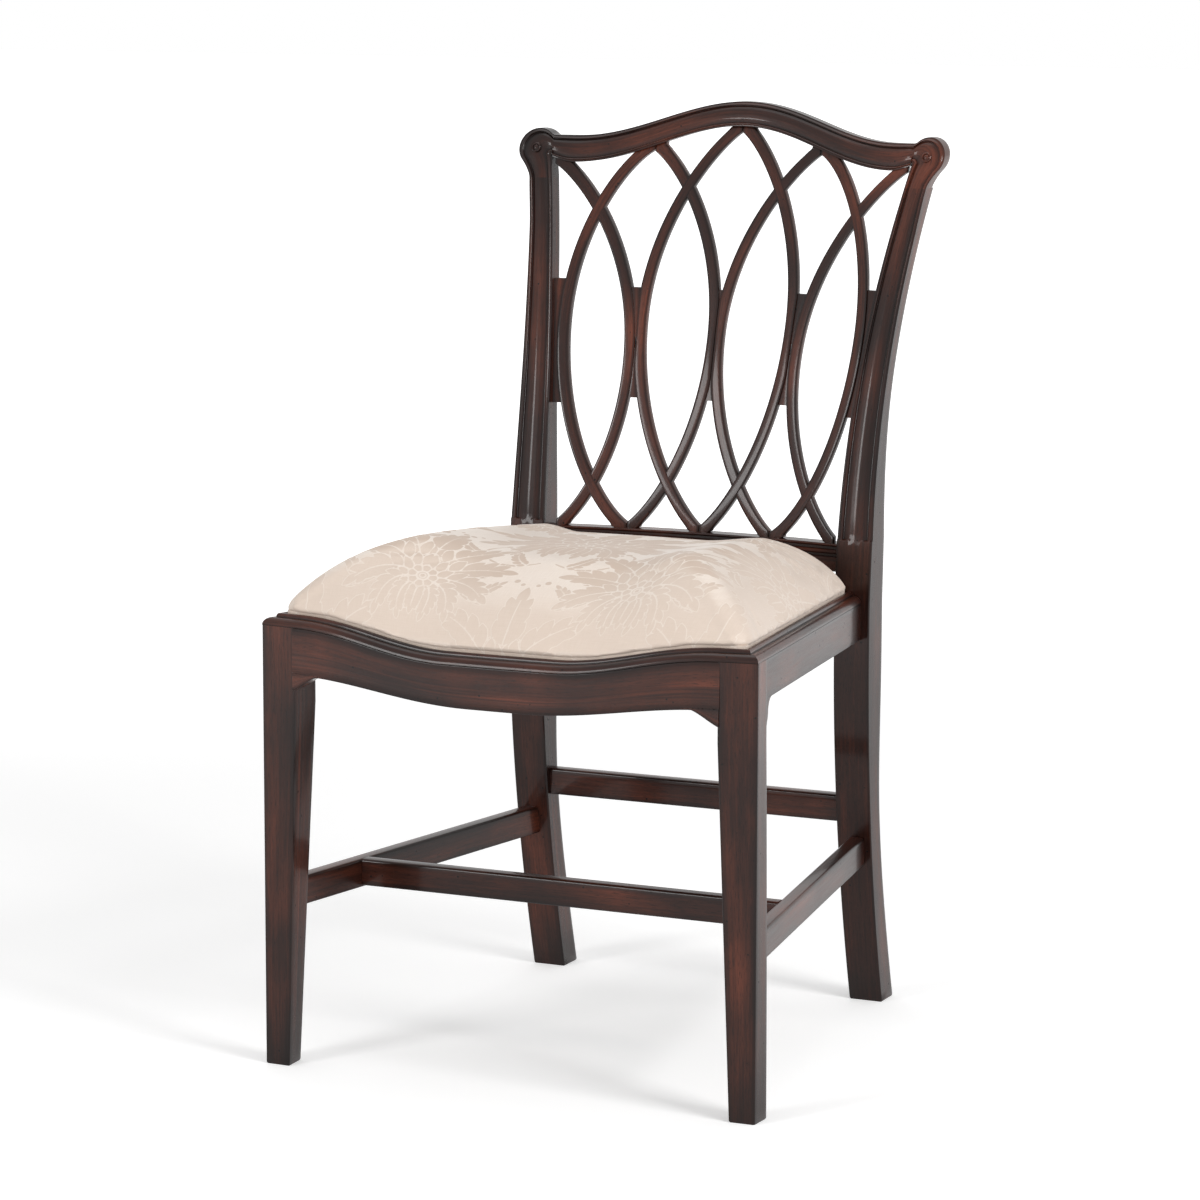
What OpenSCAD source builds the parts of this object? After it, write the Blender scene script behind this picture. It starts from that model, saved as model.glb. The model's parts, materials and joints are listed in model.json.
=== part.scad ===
// Trellis back dining chair: mahogany frame, moulded back, lift-out seat.
// Millimetres. X is the sitter's width, the front of the chair faces -Y,
// and the origin is on the floor, under the middle of the whole chair.

/* [Seat frame] */
// Width over the outer faces of the front legs
seat_w = 554; // [500:1:620]
// Depth from the front corners to the front of the back posts
seat_d = 456; // [420:1:500]
// Angle that the side rails turn in towards the back
seat_splay = 8.8; // [6:0.1:9]
// Height of the rail faces at the front corners
seat_h = 465; // [430:1:490]
// Fall of the seat from front to back
seat_fall = 10; // [4:1:14]
// Height of the front rail's face at the legs
rail_h = 48.5; // [44:0.5:54]
// Height of the side and back rails
side_rail_h = 40; // [38:1:44]
// Thickness of the seat rails
rail_t = 26; // [24:1:30]
// Dip in the middle of the front rail
front_dip = 23; // [8:1:26]
// Distance that the middle of the front rail stands forward of the corners
front_bow = 19; // [12:0.5:26]
// Width of the level part in the middle of the dip
dip_flat_w = 120; // [80:1:160]
// Dip in the middle of the front rail's lower edge
low_dip = 18; // [6:1:20]
// Thickness of the back seat rail
back_rail_t = 26; // [24:1:28]

/* [Seat moulding] */
// Width of the moulding that caps the rails
cap_w = 16; // [14:1:18]
// Height of its quarter round
cap_round_h = 8; // [6:0.5:10]
// Width of the flat behind the quarter round
cap_flat_w = 2.5; // [2:0.5:4]
// Height of the whole moulding
cap_h = 12; // [10.5:0.5:14]

/* [Front legs] */
// Width of a front leg at the rails
leg_w = 41; // [38:1:46]
// Depth of a front leg at the rails
leg_d = 37; // [33:1:40]
// Width of a front leg at the floor
leg_foot_w = 28; // [26:1:34]
// Depth of a front leg at the floor
leg_foot_d = 27.5; // [25:0.5:34]
// Angle that the front face of a front foot is turned
leg_foot_turn = 1.5; // [0:0.5:8]
// Angle that the side face of a front foot is turned
leg_foot_side_turn = -3; // [-4:0.5:8]
// Height of the straight part of the legs, behind the rails and the brackets
leg_straight_h = 81; // [79:1:110]

/* [Knee brackets] */
// Length of a front bracket along its rail
knee_front_l = 37; // [30:1:44]
// Height of a front bracket on its leg
knee_front_h = 17; // [12:1:20]
// Length of a side bracket along its rail
knee_side_l = 22; // [18:1:28]
// Height of a side bracket on its leg
knee_side_h = 33; // [26:1:34]
// Thickness of the brackets
knee_t = 20; // [16:1:22]

/* [Back posts] */
// Half of the clear width between the posts at the seat
post_in = 175; // [160:1:180]
// Width of a post at the seat
post_w = 41; // [38:1:46]
// Width of a post under the crest rail
post_top_w = 26.5; // [24:0.5:30]
// Width of a post at the floor
post_foot_w = 38.5; // [34:0.5:40]
// Depth of a post where the rails join it
post_d = 42; // [40:1:46]
// Depth of a post at its slimmest part below the seat
post_ankle_d = 31; // [30:1:36]
// Depth of a post at the floor
post_foot_d = 36; // [32:1:40]
// Depth of the post in the upper back
post_top_d = 24; // [24:1:28]
// Distance that the back feet kick back
foot_kick = 60; // [40:1:66]
// Distance that the posts lean back at the bosses
back_rake = 112; // [90:1:120]
// Distance that a post's inner edge flares outward at the bosses
back_flare = 43; // [34:1:46]
// Length of the square block above the seat, below the moulding
block_up = 57; // [50:1:64]

/* [Crest rail] */
// Height of the back above the seat, to the middle of the crest
back_h = 519; // [485:1:535]
// Drop of the crest's top edge from the middle to the low points
crest_drop = 40; // [30:1:46]
// Distance of the low points from the middle
crest_low_x = 190; // [180:1:200]
// Height of the crest rail in the middle
crest_w = 27; // [25:0.5:30]
// Height that the crest rail gains towards the low points
crest_gain = 2.4; // [1:0.2:4]
// Depth of the crest rail from front to back
crest_d = 27; // [24:0.5:30]
// Rounding of the crest's back edges, up its height and into its depth
crest_round = [5, 12]; // [3:0.5:14]
// Distance of the bosses from the middle
boss_x = 234; // [230:1:240]
// Distance of the bosses below the middle of the crest's top edge
boss_drop = 54; // [50:1:58]
// Radius of the rounded ears
ear_r = 21; // [17:0.5:22]
// Radius of the bosses
boss_r = 5.8; // [4:0.2:7]
// Height of the bosses over the moulding
boss_h = 2; // [1:0.5:3]
// Distance that the middle of the back lies behind the posts
back_bow = 24; // [14:1:28]

/* [Lower back rail] */
// Height of its top edge above the seat
low_rail_up = 51; // [47:1:59]
// Height of the rail
low_rail_h = 30; // [26:1:32]
// Depth of the rail
low_rail_d = 24; // [23:1:26]

/* [Trellis] */
// Width of the laths
lath_w = 12.2; // [10:0.2:14]
// Depth of the laths
lath_d = 10; // [9:0.5:12]
// Distance of the laths behind the face of the rails, in the middle
lath_recess = 6; // [5:0.5:8]
// Part of that distance that is lost towards the posts
lath_recess_loss = 3; // [0:0.5:4]
// Distances from the middle at which the laths spring from the lower rail
lath_low_x = [0, 85.5, 166.5]; // [0:0.5:170]
// Distances from the middle at which they meet the crest
lath_top_x = [0, 100, 207.5]; // [0:0.5:210]
// Sideways swell of the laths
lath_bulge = 89.5; // [86:0.5:92]
// Sideways swell of the two laths next to the posts
lath_bulge_post = 83.5; // [80:0.5:86]
// Length of the spacers between the laths
spacer_l = 120; // [80:1:136]
// Distance of the spacers behind the face of the laths
spacer_recess = 2; // [1:0.5:2.5]
// Length of the spacers between the outer laths and the posts
post_spacer_l = 136; // [100:1:150]

/* [Stretchers] */
// Height of the top of the side and middle stretchers
stretcher_z = 193; // [170:1:220]
// Height of the side stretchers
stretcher_h = 30.5; // [26:0.5:34]
// Thickness of the stretchers
stretcher_t = 17; // [14:1:20]
// Distance of the side stretchers inside the outer faces of the front legs
stretcher_in = 1.5; // [1:0.5:6]
// Distance of the side stretchers outside the middle of the posts
stretcher_out = 2.5; // [0:0.5:5]
// Distance of the middle stretcher from the front corners
medial_y = 145; // [120:1:220]
// Height of the top of the rear stretcher
rear_stretcher_z = 238; // [230:1:250]
// Height of the rear stretcher
rear_stretcher_h = 29.5; // [24:0.5:32]
// Rounding of the stretchers' top edges
stretcher_round = 3; // [1:0.5:5]

/* [Joinery] */
// Thickness of the tenons
tenon_t = 9; // [7:0.5:10]
// Length of the rail tenons
tenon_l = 18; // [14:1:19]
// Shoulder above and below a rail tenon
tenon_shoulder = 6; // [4:0.5:8]
// Length of the stretcher tenons
stretcher_tenon_l = 14; // [8:1:16]
// Length of the lath tenons
lath_tenon_l = 8; // [5:1:10]
// Width of the lath tenons
lath_tenon_w = 6; // [4:0.5:7]
// Gap all round a tenon in its mortise
fit_gap = 0.15; // [0.05:0.05:0.3]
// Height of the corner blocks
corner_block_h = 26; // [22:1:27]
// Width of the corner blocks
corner_block_w = 30; // [24:1:36]
// Distance of the corner blocks from the corners
corner_block_reach = 62; // [56:1:80]
// Diameter of the corner block screws
screw_d = 4.5; // [3.5:0.5:5]
// Length of the corner block screws
screw_l = 34; // [30:1:40]

/* [Lift-out seat] */
// Gap between the seat and the moulding round it
seat_gap = 1; // [0.8:0.1:2]
// Gap between the seat and the rails under it
seat_lift_gap = 0.3; // [0.3:0.1:0.6]
// Width of the seat frame's members
seat_frame_w = 58; // [50:1:70]
// Thickness of the seat frame
seat_frame_t = 18; // [16:1:22]
// Thickness of the damask cover
cover_t = 1.2; // [0.8:0.1:1.6]
// Height of the cushion's widest level above the moulding
cushion_low_h = 7; // [4:0.5:12]
// Height of the cushion's crown above its widest level
cushion_h = 86; // [70:1:96]
// Distance that the cushion's sides swell out over the moulding
cushion_swell = 5; // [2:0.5:7]
// Radius of the cushion's corners in plan, at its widest level
cushion_corner_r = 22; // [16:1:30]
// Radius of the seat's corners in plan, inside the moulding
seat_corner_r = 8; // [5:1:12]
// Width of the webbing
web_w = 48; // [40:1:52]
// Thickness of the webbing
web_t = 1.6; // [1:0.2:2.4]

/* [Hidden] */

mahogany = "#4a2a22";
mahogany_light = "#5e372b";
beech = "#c9a877";
damask = "#e8dccd";
jute = "#b59a6a";
foam = "#e6dcc0";
steel = "#9a9a98";
black_cloth = "#2a2a2a";

// One overrun serves every cut
over = 1;
// Heights of the back, which stand on the seat's height
crest_h = seat_h + back_h;
boss_z = crest_h - boss_drop;
low_rail_top = seat_h + low_rail_up;

// Shares across the moulded face, from one edge to the other, and the depth
// of the face at each as a share of the moulding's depth
face_shares = [0, 0.06, 0.085, 0.135, 0.16, 0.2, 0.31, 0.5, 0.69, 0.8, 0.84, 0.865, 0.915, 0.94, 1];
face_depth_shares = [0.8, 0.7, 0.3, 0.3, 1, 0.85, 0.3, 0, 0.3, 0.85, 1, 0.3, 0.3, 0.7, 0.8];
// Depth of the moulding on the posts and the crest
face_depth = 3;
// Chamfer on the back edges of the posts and the crest
back_chamfer = 3;
// Power of the back's curve above the seat, and of the sabre foot
rake_share = 1.62;
kick_share = 1.9;
flare_share = 2.33;
// Height share of the slimmest part of the post below the seat
ankle_share = 0.5;
// Height above the seat at which the upper post reaches its slim depth
slim_up = 255;
slim_z = seat_h + slim_up;
// The back's bow crosses the plane of the posts here
bow_x = boss_x - post_top_w;
// Length of post under the crest over which its face turns to meet the bow
turn_up_h = 60;
// Shares of the swell's height and fullness in the laths
swell_mid_share = 0.53;
swell_full_share = 0.8;
swell_full_post_share = 0.7;

// Places that follow from the sizes above
function ease(t) = (1 - cos(180 * min(1, max(0, t)))) / 2;
function blend(z, z0, z1, a, b) = a + (b - a) * ease((z - z0) / (z1 - z0));
function lerp(a, b, t) = a + (b - a) * t;

leg_taper_z = seat_h - leg_straight_h;
seat_pitch = atan(seat_fall / seat_d);
// The square block of the post, where the rails join it
block_low_z = seat_h - seat_fall - side_rail_h - 2 * tenon_shoulder;
block_top_z = seat_h - seat_fall;
moulding_stop_z = seat_h + block_up;
// The post meets the ear of the crest rail here
joint_z = boss_z - ear_r - cap_h;

// The front rail is an arc between the inner edges of the legs
front_half = seat_w / 2 - leg_w * cos(seat_splay);
front_rise = front_bow - leg_w * sin(seat_splay);
front_r = (pow(front_half, 2) + pow(front_rise, 2)) / (2 * front_rise);
front_arc_y = front_r - front_bow;

function rake_y(z) = z < block_low_z ? foot_kick * pow(1 - z / block_low_z, kick_share)
  : z < block_top_z ? 0
  : back_rake * pow((z - block_top_z) / (boss_z - block_top_z), rake_share);
// The front rail leans out at its lower edge, and the crest is deepest below its chamfer
front_reach = front_bow * cos(seat_pitch) + (rail_h + low_dip) * sin(seat_pitch);
total_d = front_reach + seat_d + rake_y(crest_h - crest_round[0]) + back_bow + crest_d;
corner_y = front_reach - total_d / 2;
post_y = corner_y + seat_d;

function post_x(z) = z < block_top_z ? post_in
  : post_in + back_flare * pow((z - block_top_z) / (boss_z - block_top_z), flare_share);
function post_width(z) = z < block_low_z ? blend(z, 0, block_low_z, post_foot_w, post_w)
  : z < moulding_stop_z ? post_w
  : lerp(post_w, post_top_w, (z - moulding_stop_z) / (joint_z - moulding_stop_z));
function post_depth(z) = z < block_low_z * ankle_share
  ? blend(z, 0, block_low_z * ankle_share, post_foot_d, post_ankle_d)
  : z < block_low_z ? blend(z, block_low_z * ankle_share, block_low_z, post_ankle_d, post_d)
  : blend(z, block_top_z, slim_z, post_d, post_top_d);

// The face of the back: raked by height and bowed by width
ear_bow_share = 0.55;
function bow(x) = let (b = back_bow * (1 - pow(x / bow_x, 2))) b < 0 ? ear_bow_share * b : b;
function back_y(x, z) = post_y + rake_y(z) + bow(x);

// Elevation of the crest rail, drawn for one side
ear_gain_share = 4;
function crest_top(x) = crest_h - crest_drop * ease(x / crest_low_x);
function crest_low(x) = crest_top(x) - crest_w - crest_gain * ease(x / crest_low_x)
  + ear_gain_share * crest_gain * ease((x - crest_low_x) / (boss_x - crest_low_x));

// A closed skin over rings that have the same number of points, each of them
// anticlockwise as seen from the last ring
module skin(rings) {
  n = len(rings[0]);
  m = len(rings);
  points = [for (ring = rings) for (p = ring) p];
  sides = [for (j = [0:m - 2]) for (i = [0:n - 1])
    let (a = j * n + i, b = j * n + (i + 1) % n)
    each [[a, b + n, b], [a, a + n, b + n]]];
  low = [for (i = [0:n - 1]) i];
  top = [for (i = [0:n - 1]) m * n - 1 - i];
  polyhedron(points, concat(sides, [low], [top]));
}

module sided(side) {
  if (side < 0) mirror([1, 0, 0]) children();
  else children();
}

// Right-hand frames: the leg's own, and the plane of the seat
module leg_frame() {
  translate([seat_w / 2, corner_y, 0]) rotate([0, 0, seat_splay]) children();
}

module seat_plane() {
  translate([0, corner_y, seat_h]) rotate([-seat_pitch, 0, 0]) children();
}

// A box given by its lowest and highest corners, grown by a margin
module block(low, high, grow = 0) {
  translate([low[0] - grow, low[1] - grow, low[2] - grow])
    cube([high[0] - low[0] + 2 * grow, high[1] - low[1] + 2 * grow, high[2] - low[2] + 2 * grow]);
}

// FRONT LEGS
// Tenons that the legs receive, in the leg's frame
front_tenon_l = min(leg_w / 2, tenon_l + over);
side_tenon_x = (rail_t - tenon_t) / 2;
module front_rail_tenon(grow) {
  block([-leg_w - tenon_shoulder, side_tenon_x, seat_h - rail_h + tenon_shoulder],
    [-leg_w + front_tenon_l, side_tenon_x + tenon_t, seat_h - tenon_shoulder - seat_fall / 2], grow);
}

module side_rail_front_tenon(grow) {
  block([-side_tenon_x - tenon_t, leg_d - tenon_l, seat_h - side_rail_h + tenon_shoulder],
    [-side_tenon_x, leg_d + tenon_shoulder, seat_h - tenon_shoulder - seat_fall / 2], grow);
}

// Centre of the leg and of the post at the side stretcher
stretcher_mid_z = stretcher_z - stretcher_h / 2;
leg_mid_d = lerp(leg_foot_d, leg_d, leg_share(stretcher_mid_z));
leg_mid_back = leg_point(stretcher_mid_z, 0, leg_mid_d);
stretcher_front_x = leg_mid_back[0] - stretcher_in - stretcher_t / 2;
stretcher_front_y = leg_mid_back[1];
stretcher_back_x = post_x(stretcher_mid_z) + post_width(stretcher_mid_z) / 2 + stretcher_out;
stretcher_back_y = post_y + rake_y(stretcher_mid_z);
stretcher_turn = atan((stretcher_front_x - stretcher_back_x) / (stretcher_back_y - stretcher_front_y));
stretcher_run = norm([stretcher_front_x - stretcher_back_x, stretcher_back_y - stretcher_front_y]);

// Frame of the right side stretcher: Y runs back along its middle
module stretcher_frame() {
  translate([stretcher_front_x, stretcher_front_y, 0]) rotate([0, 0, stretcher_turn]) children();
}

module side_stretcher_tenon(at_back, grow) {
  tenon_low = stretcher_z - stretcher_h + tenon_shoulder;
  y = at_back ? stretcher_run - tenon_shoulder : -stretcher_tenon_l;
  stretcher_frame() block([-tenon_t / 2, y, tenon_low],
    [tenon_t / 2, y + stretcher_tenon_l + tenon_shoulder, stretcher_z - tenon_shoulder], grow);
}

// Outline of the right leg at a height: the outer front arris stands upright
leg_rings = 8;
function leg_share(z) = min(1, z / leg_taper_z);
function leg_point(z, x, y) =
  let (front = lerp(leg_foot_turn, seat_splay, leg_share(z)), side = lerp(leg_foot_side_turn, seat_splay, leg_share(z)))
  [seat_w / 2 + x * cos(front) - y * sin(side), corner_y + x * sin(front) + y * cos(side), z];
function leg_ring(z) =
  let (w = lerp(leg_foot_w, leg_w, leg_share(z)), d = lerp(leg_foot_d, leg_d, leg_share(z)))
  [leg_point(z, -w, 0), leg_point(z, 0, 0), leg_point(z, 0, d), leg_point(z, -w, d)];

module leg_blank() {
  skin(concat([for (i = [0:leg_rings]) leg_ring(leg_taper_z * i / leg_rings)], [leg_ring(seat_h)]));
}

module front_leg() {
  color(mahogany) difference() {
    leg_blank();
    seat_plane() block([0, -seat_w / 2, 0], [seat_w, seat_w / 2, seat_h]);
    leg_frame() front_rail_tenon(fit_gap);
    leg_frame() side_rail_front_tenon(fit_gap);
    side_stretcher_tenon(false, fit_gap);
  }
}

// SEAT RAILS
function dip_share(x, flat) = 1 - ease((abs(x) - flat / 2) / (front_half - flat / 2));
function dip(x) = front_dip * dip_share(x, dip_flat_w);
low_flat_share = 0.53;
function rail_low_dip(x) = low_dip * dip_share(x, dip_flat_w * low_flat_share);
dip_steps = 40;
dip_xs = [for (i = [0:dip_steps]) lerp(-front_half, front_half, i / dip_steps)];

// A band in elevation that follows the dip, from one height to another; the
// lower edge of the rail has a dip of its own
module dipped_band(low, high, half, depth, rail = false) {
  xs = concat([-half], [for (x = dip_xs) if (abs(x) < half - over) x], [half]);
  rotate([90, 0, 0]) translate([0, 0, -depth / 2]) linear_extrude(depth)
    polygon(concat([for (x = xs) [x, high - dip(x)]],
      [for (i = [len(xs) - 1:-1:0]) [xs[i], low - (rail ? rail_low_dip(xs[i]) : dip(xs[i]))]]));
}

arc_fn = 720;
module arc_wall(inset, thickness) {
  translate([0, front_arc_y, -seat_h]) difference() {
    cylinder(h = 2 * seat_h, r = front_r - inset, $fn = arc_fn);
    translate([0, 0, -over])
      cylinder(h = 2 * (seat_h + over), r = front_r - inset - thickness, $fn = arc_fn);
  }
}

module front_seat_rail() {
  color(mahogany) {
    difference() {
      seat_plane() intersection() {
        arc_wall(0, rail_t);
        dipped_band(-rail_h, 0, front_half + rail_t, seat_w, true);
      }
      for (side = [-1, 1]) sided(side) {
        leg_frame() block([-leg_w, -seat_w, -over], [leg_w, seat_w, 2 * seat_h]);
        rail_screws(true);
      }
    }
    for (side = [-1, 1]) sided(side) leg_frame() front_rail_tenon(0);
  }
}

side_run = seat_d / cos(seat_splay);
// The tenon stops short of the back rail's
side_back_tenon_l = back_rail_t - tenon_t - 2 * over;
module side_rail_back_tenon(grow) {
  seat_plane() translate([seat_w / 2, 0, 0]) rotate([0, 0, seat_splay])
    block([-side_tenon_x - tenon_t, side_run - tenon_shoulder, -side_rail_h + tenon_shoulder],
      [-side_tenon_x, side_run + side_back_tenon_l, -tenon_shoulder], grow);
}

module side_seat_rail() {
  color(mahogany) {
    difference() {
      seat_plane() translate([seat_w / 2, 0, 0]) rotate([0, 0, seat_splay])
        block([-rail_t, 0, -side_rail_h], [0, side_run + rail_t, 0]);
      leg_frame() block([-seat_w, -seat_w, -over], [seat_w, leg_d, 2 * seat_h]);
      block([-seat_w, post_y, -over], [seat_w, post_y + seat_d, 2 * seat_h]);
      for (front = [true, false]) rail_screws(front);
    }
    leg_frame() side_rail_front_tenon(0);
    side_rail_back_tenon(0);
  }
}

// The back rail's tenons lie behind those of the side rails
back_tenon_y = back_rail_t - tenon_t - over;
module back_rail_tenons(grow) {
  seat_plane() block([-post_in - tenon_l, seat_d + back_tenon_y, -side_rail_h + tenon_shoulder],
    [post_in + tenon_l, seat_d + back_tenon_y + tenon_t, -tenon_shoulder], grow);
}

module back_seat_rail() {
  color(mahogany) {
    difference() {
      seat_plane() block([-post_in, seat_d, -side_rail_h], [post_in, seat_d + back_rail_t, 0]);
      for (side = [-1, 1]) sided(side) rail_screws(false);
    }
    back_rail_tenons(0);
  }
}

// SEAT MOULDING
// Section of the moulding: distance in from the face, and height
cap_round_steps = 6;
cap_bead = cap_w - cap_round_h - cap_flat_w;
cap_flat_end = cap_round_h + cap_flat_w;
cap_section = concat(
  [[0, 0], [cap_w, 0], [cap_w, cap_h], [cap_flat_end + cap_bead / 4, cap_h],
    [cap_flat_end, cap_h - cap_bead / 4], [cap_flat_end, cap_round_h]],
  [for (i = [cap_round_steps:-1:1]) let (a = 90 * i / cap_round_steps)
    [cap_round_h * (1 - cos(a)), cap_round_h * sin(a)]]);

// A point of the leg's frame, in the plane of the seat
function from_corner(x, y, z) = [
  seat_w / 2 + x * cos(seat_splay) - y * sin(seat_splay),
  x * sin(seat_splay) + y * cos(seat_splay), z];

function front_cap_ring(x) = [for (s = cap_section)
  let (a = asin(x / front_r), r = front_r - s[0])
  [r * sin(a), front_arc_y - r * cos(a), s[1] - dip(x)]];
cap_mitre = [for (s = cap_section) from_corner(-s[0], s[0], s[1])];
function mirror_x(ring) = [for (p = ring) [-p[0], p[1], p[2]]];

module seat_moulding_front() {
  color(mahogany_light) seat_plane()
    skin(concat([mirror_x(cap_mitre)], [for (x = dip_xs) front_cap_ring(x)], [cap_mitre]));
}

module seat_moulding_side() {
  color(mahogany_light) seat_plane() difference() {
    translate([seat_w / 2, 0, 0]) rotate([0, 0, seat_splay]) difference() {
      translate([0, side_run + cap_w, 0]) rotate([90, 0, 0]) linear_extrude(side_run + 2 * cap_w)
        polygon([for (s = cap_section) [-s[0], s[1]]]);
      // The mitre at the front corner
      rotate([0, 0, 45]) block([-seat_w, -seat_w, -seat_h], [0, seat_w, seat_h]);
    }
    block([-seat_w, seat_d, -seat_h], [seat_w, 2 * seat_d, seat_h]);
  }
}

// KNEE BRACKETS
// Outlines under a rail, with the corner at the leg and the top raised by a height
knee_steps = 6;
knee_lip_share = 0.3;
knee_half_share = 0.45;
function knee_front_outline(up) = concat([[0, up], [knee_front_l, up]],
  [for (i = [0:knee_steps]) let (t = 1 - i / knee_steps) [knee_front_l * t, -knee_front_h * (1 - ease(t))]]);
function knee_side_outline(up) =
  let (lip = knee_side_l * knee_lip_share, half = knee_side_h * knee_half_share)
  concat([[0, up], [knee_side_l, up]],
    [for (i = [0:knee_steps]) let (a = 90 * i / knee_steps)
      [lip + (knee_side_l - lip) * (1 - sin(a)), -half * (1 - cos(a))]],
    [for (i = [1:knee_steps]) let (t = i / knee_steps)
      [lip * (1 - ease(t)), lerp(-half, -knee_side_h, t)]]);

module knee_bracket_front() {
  color(mahogany) difference() {
    leg_frame() translate([-leg_w, knee_t, seat_h - rail_h + over]) rotate([90, 0, 0])
      mirror([1, 0, 0]) linear_extrude(knee_t)
        polygon(knee_front_outline(rail_h / 2));
    seat_plane() dipped_band(-rail_h, seat_h, seat_w / 2, seat_w, true);
    leg_frame() block([-leg_w, -seat_w, 0], [seat_w, seat_w, seat_h]);
  }
}

module knee_bracket_side() {
  color(mahogany) difference() {
    leg_frame() translate([-knee_t, leg_d, seat_h - side_rail_h]) rotate([90, 0, 90])
      linear_extrude(knee_t) polygon(knee_side_outline(over));
    seat_plane() block([0, -seat_w, -side_rail_h], [seat_w, seat_w, seat_h]);
  }
}

// CORNER BLOCKS
// Space between the side rails, at a distance inside their outer faces
module inside_sides(inset) {
  run = seat_d + 2 * post_d;
  translate([0, 0, -seat_h]) linear_extrude(2 * seat_h)
    polygon([[-side_x(inset, -front_bow), -front_bow], [side_x(inset, -front_bow), -front_bow],
      [side_x(inset, run), run], [-side_x(inset, run), run]]);
}

// Space inside the rails, in the plane of the seat
module rail_well() {
  intersection() {
    translate([0, front_arc_y, -seat_h]) cylinder(h = 2 * seat_h, r = front_r - rail_t, $fn = arc_fn);
    inside_sides(rail_t);
    block([-seat_w, -seat_w, -seat_h], [seat_w, seat_d, seat_h]);
  }
}

// Places of the right-hand blocks: the corner of the well and the block's turn
block_front_corner = from_corner(-rail_t, rail_t, 0);
block_back_corner = [seat_w / 2 - seat_d * tan(seat_splay) - rail_t, seat_d, 0];
corner_block_top = -front_dip / 2;

// Frame of a block: X runs out to the corner, Z up
module block_frame(front) {
  corner = front ? block_front_corner : block_back_corner;
  translate([corner[0], corner[1], 0]) rotate([0, 0, (front ? -45 : 45) + seat_splay / 2]) children();
}

screw_fn = 24;
// Start of a screw in its block, as a share of the block's width
screw_start_share = 0.55;
module block_screw(front, tilt, radius) {
  block_frame(front) translate([-corner_block_reach * sin(45) - corner_block_w / 2, 0,
      corner_block_top - corner_block_h / 2])
    rotate([0, 0, tilt]) translate([corner_block_w * screw_start_share, 0, 0]) rotate([0, 90, 0])
      cylinder(h = screw_l, r = radius, $fn = screw_fn);
}

module corner_block(front) {
  color(beech) seat_plane() difference() {
    intersection() {
      block_frame(front)
        block([-corner_block_reach * sin(45) - corner_block_w / 2, -seat_w / 4, corner_block_top - corner_block_h],
          [-corner_block_reach * sin(45) + corner_block_w / 2, seat_w / 4, corner_block_top]);
      rail_well();
    }
    for (tilt = [-45, 45]) block_screw(front, tilt, screw_d / 2);
  }
}

// The screws fill their holes in the blocks and the rails
module rail_screws(front) {
  seat_plane() for (tilt = [-45, 45]) block_screw(front, tilt, screw_d / 2);
}

module corner_block_screws() {
  color(steel) for (side = [-1, 1]) sided(side) for (front = [true, false]) rail_screws(front);
}

// BACK POSTS
post_rings_low = 20;
post_rings_high = 22;
square_chamfer = 1.2;
function post_ring(z, moulded) =
  let (x = post_x(z), w = post_width(z), y = post_y + rake_y(z), d = post_depth(z))
  let (turn = ease((z - joint_z + turn_up_h) / turn_up_h))
  concat(
    [for (i = [0:len(face_shares) - 1]) let (px = x + w * face_shares[i])
      [px, y + turn * min(0, bow(px)) + (moulded ? face_depth * face_depth_shares[i]
          : i == 0 || i == len(face_shares) - 1 ? square_chamfer : 0), z]],
    [[x + w, y + d - back_chamfer, z], [x + w - back_chamfer, y + d, z],
      [x + back_chamfer, y + d, z], [x, y + d - back_chamfer, z]]);

top_tenon_share = 0.7;
module post_top_tenon(grow) {
  lean = atan((rake_y(joint_z + over) - rake_y(joint_z - over)) / (2 * over));
  translate([post_x(joint_z) + post_top_w / 2, post_y + rake_y(joint_z) + post_top_d / 2, joint_z])
    rotate([-lean, 0, 0])
      block([-tenon_t * top_tenon_share, -tenon_t / 2, -tenon_l / 2], [tenon_t * top_tenon_share, tenon_t / 2, tenon_l], grow);
}

// The space beyond the joint of a post with the crest, above or below it
module beyond_joint(above) {
  block([0, -seat_d, above ? joint_z : joint_z - tenon_l], [seat_w, seat_d, above ? joint_z + tenon_l : joint_z]);
}

module back_post() {
  color(mahogany) difference() {
    union() {
      difference() {
        skin(concat(
          [for (i = [0:post_rings_low]) post_ring(block_low_z * i / post_rings_low, false)],
          [post_ring(block_top_z, false), post_ring(moulding_stop_z, false)],
          [for (i = [0:post_rings_high])
            post_ring(lerp(moulding_stop_z + face_depth / 2, joint_z + over, i / post_rings_high), true)]));
        beyond_joint(true);
      }
      post_top_tenon(0);
    }
    side_rail_back_tenon(fit_gap);
    back_rail_tenons(fit_gap);
    side_stretcher_tenon(true, fit_gap);
    rear_stretcher_tenons(fit_gap);
    low_rail_tenons(fit_gap);
  }
}

// CREST RAIL
// Outline of the right ear and half of the crest, as pairs of an inner and an outer point
ear_up = 0.5;
ear_z = boss_z + ear_up;
corner_r = 2;
corner_x = post_x(crest_low(boss_x)) - corner_r;
corner_z = crest_low(boss_x) - corner_r;
ear_start = -44;
ear_end = 134;
ear_steps = 14;
notch_share = 0.86;
notch_x = boss_x - ear_r * notch_share;
neck_share = 1.4;
crest_steps = 18;

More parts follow.
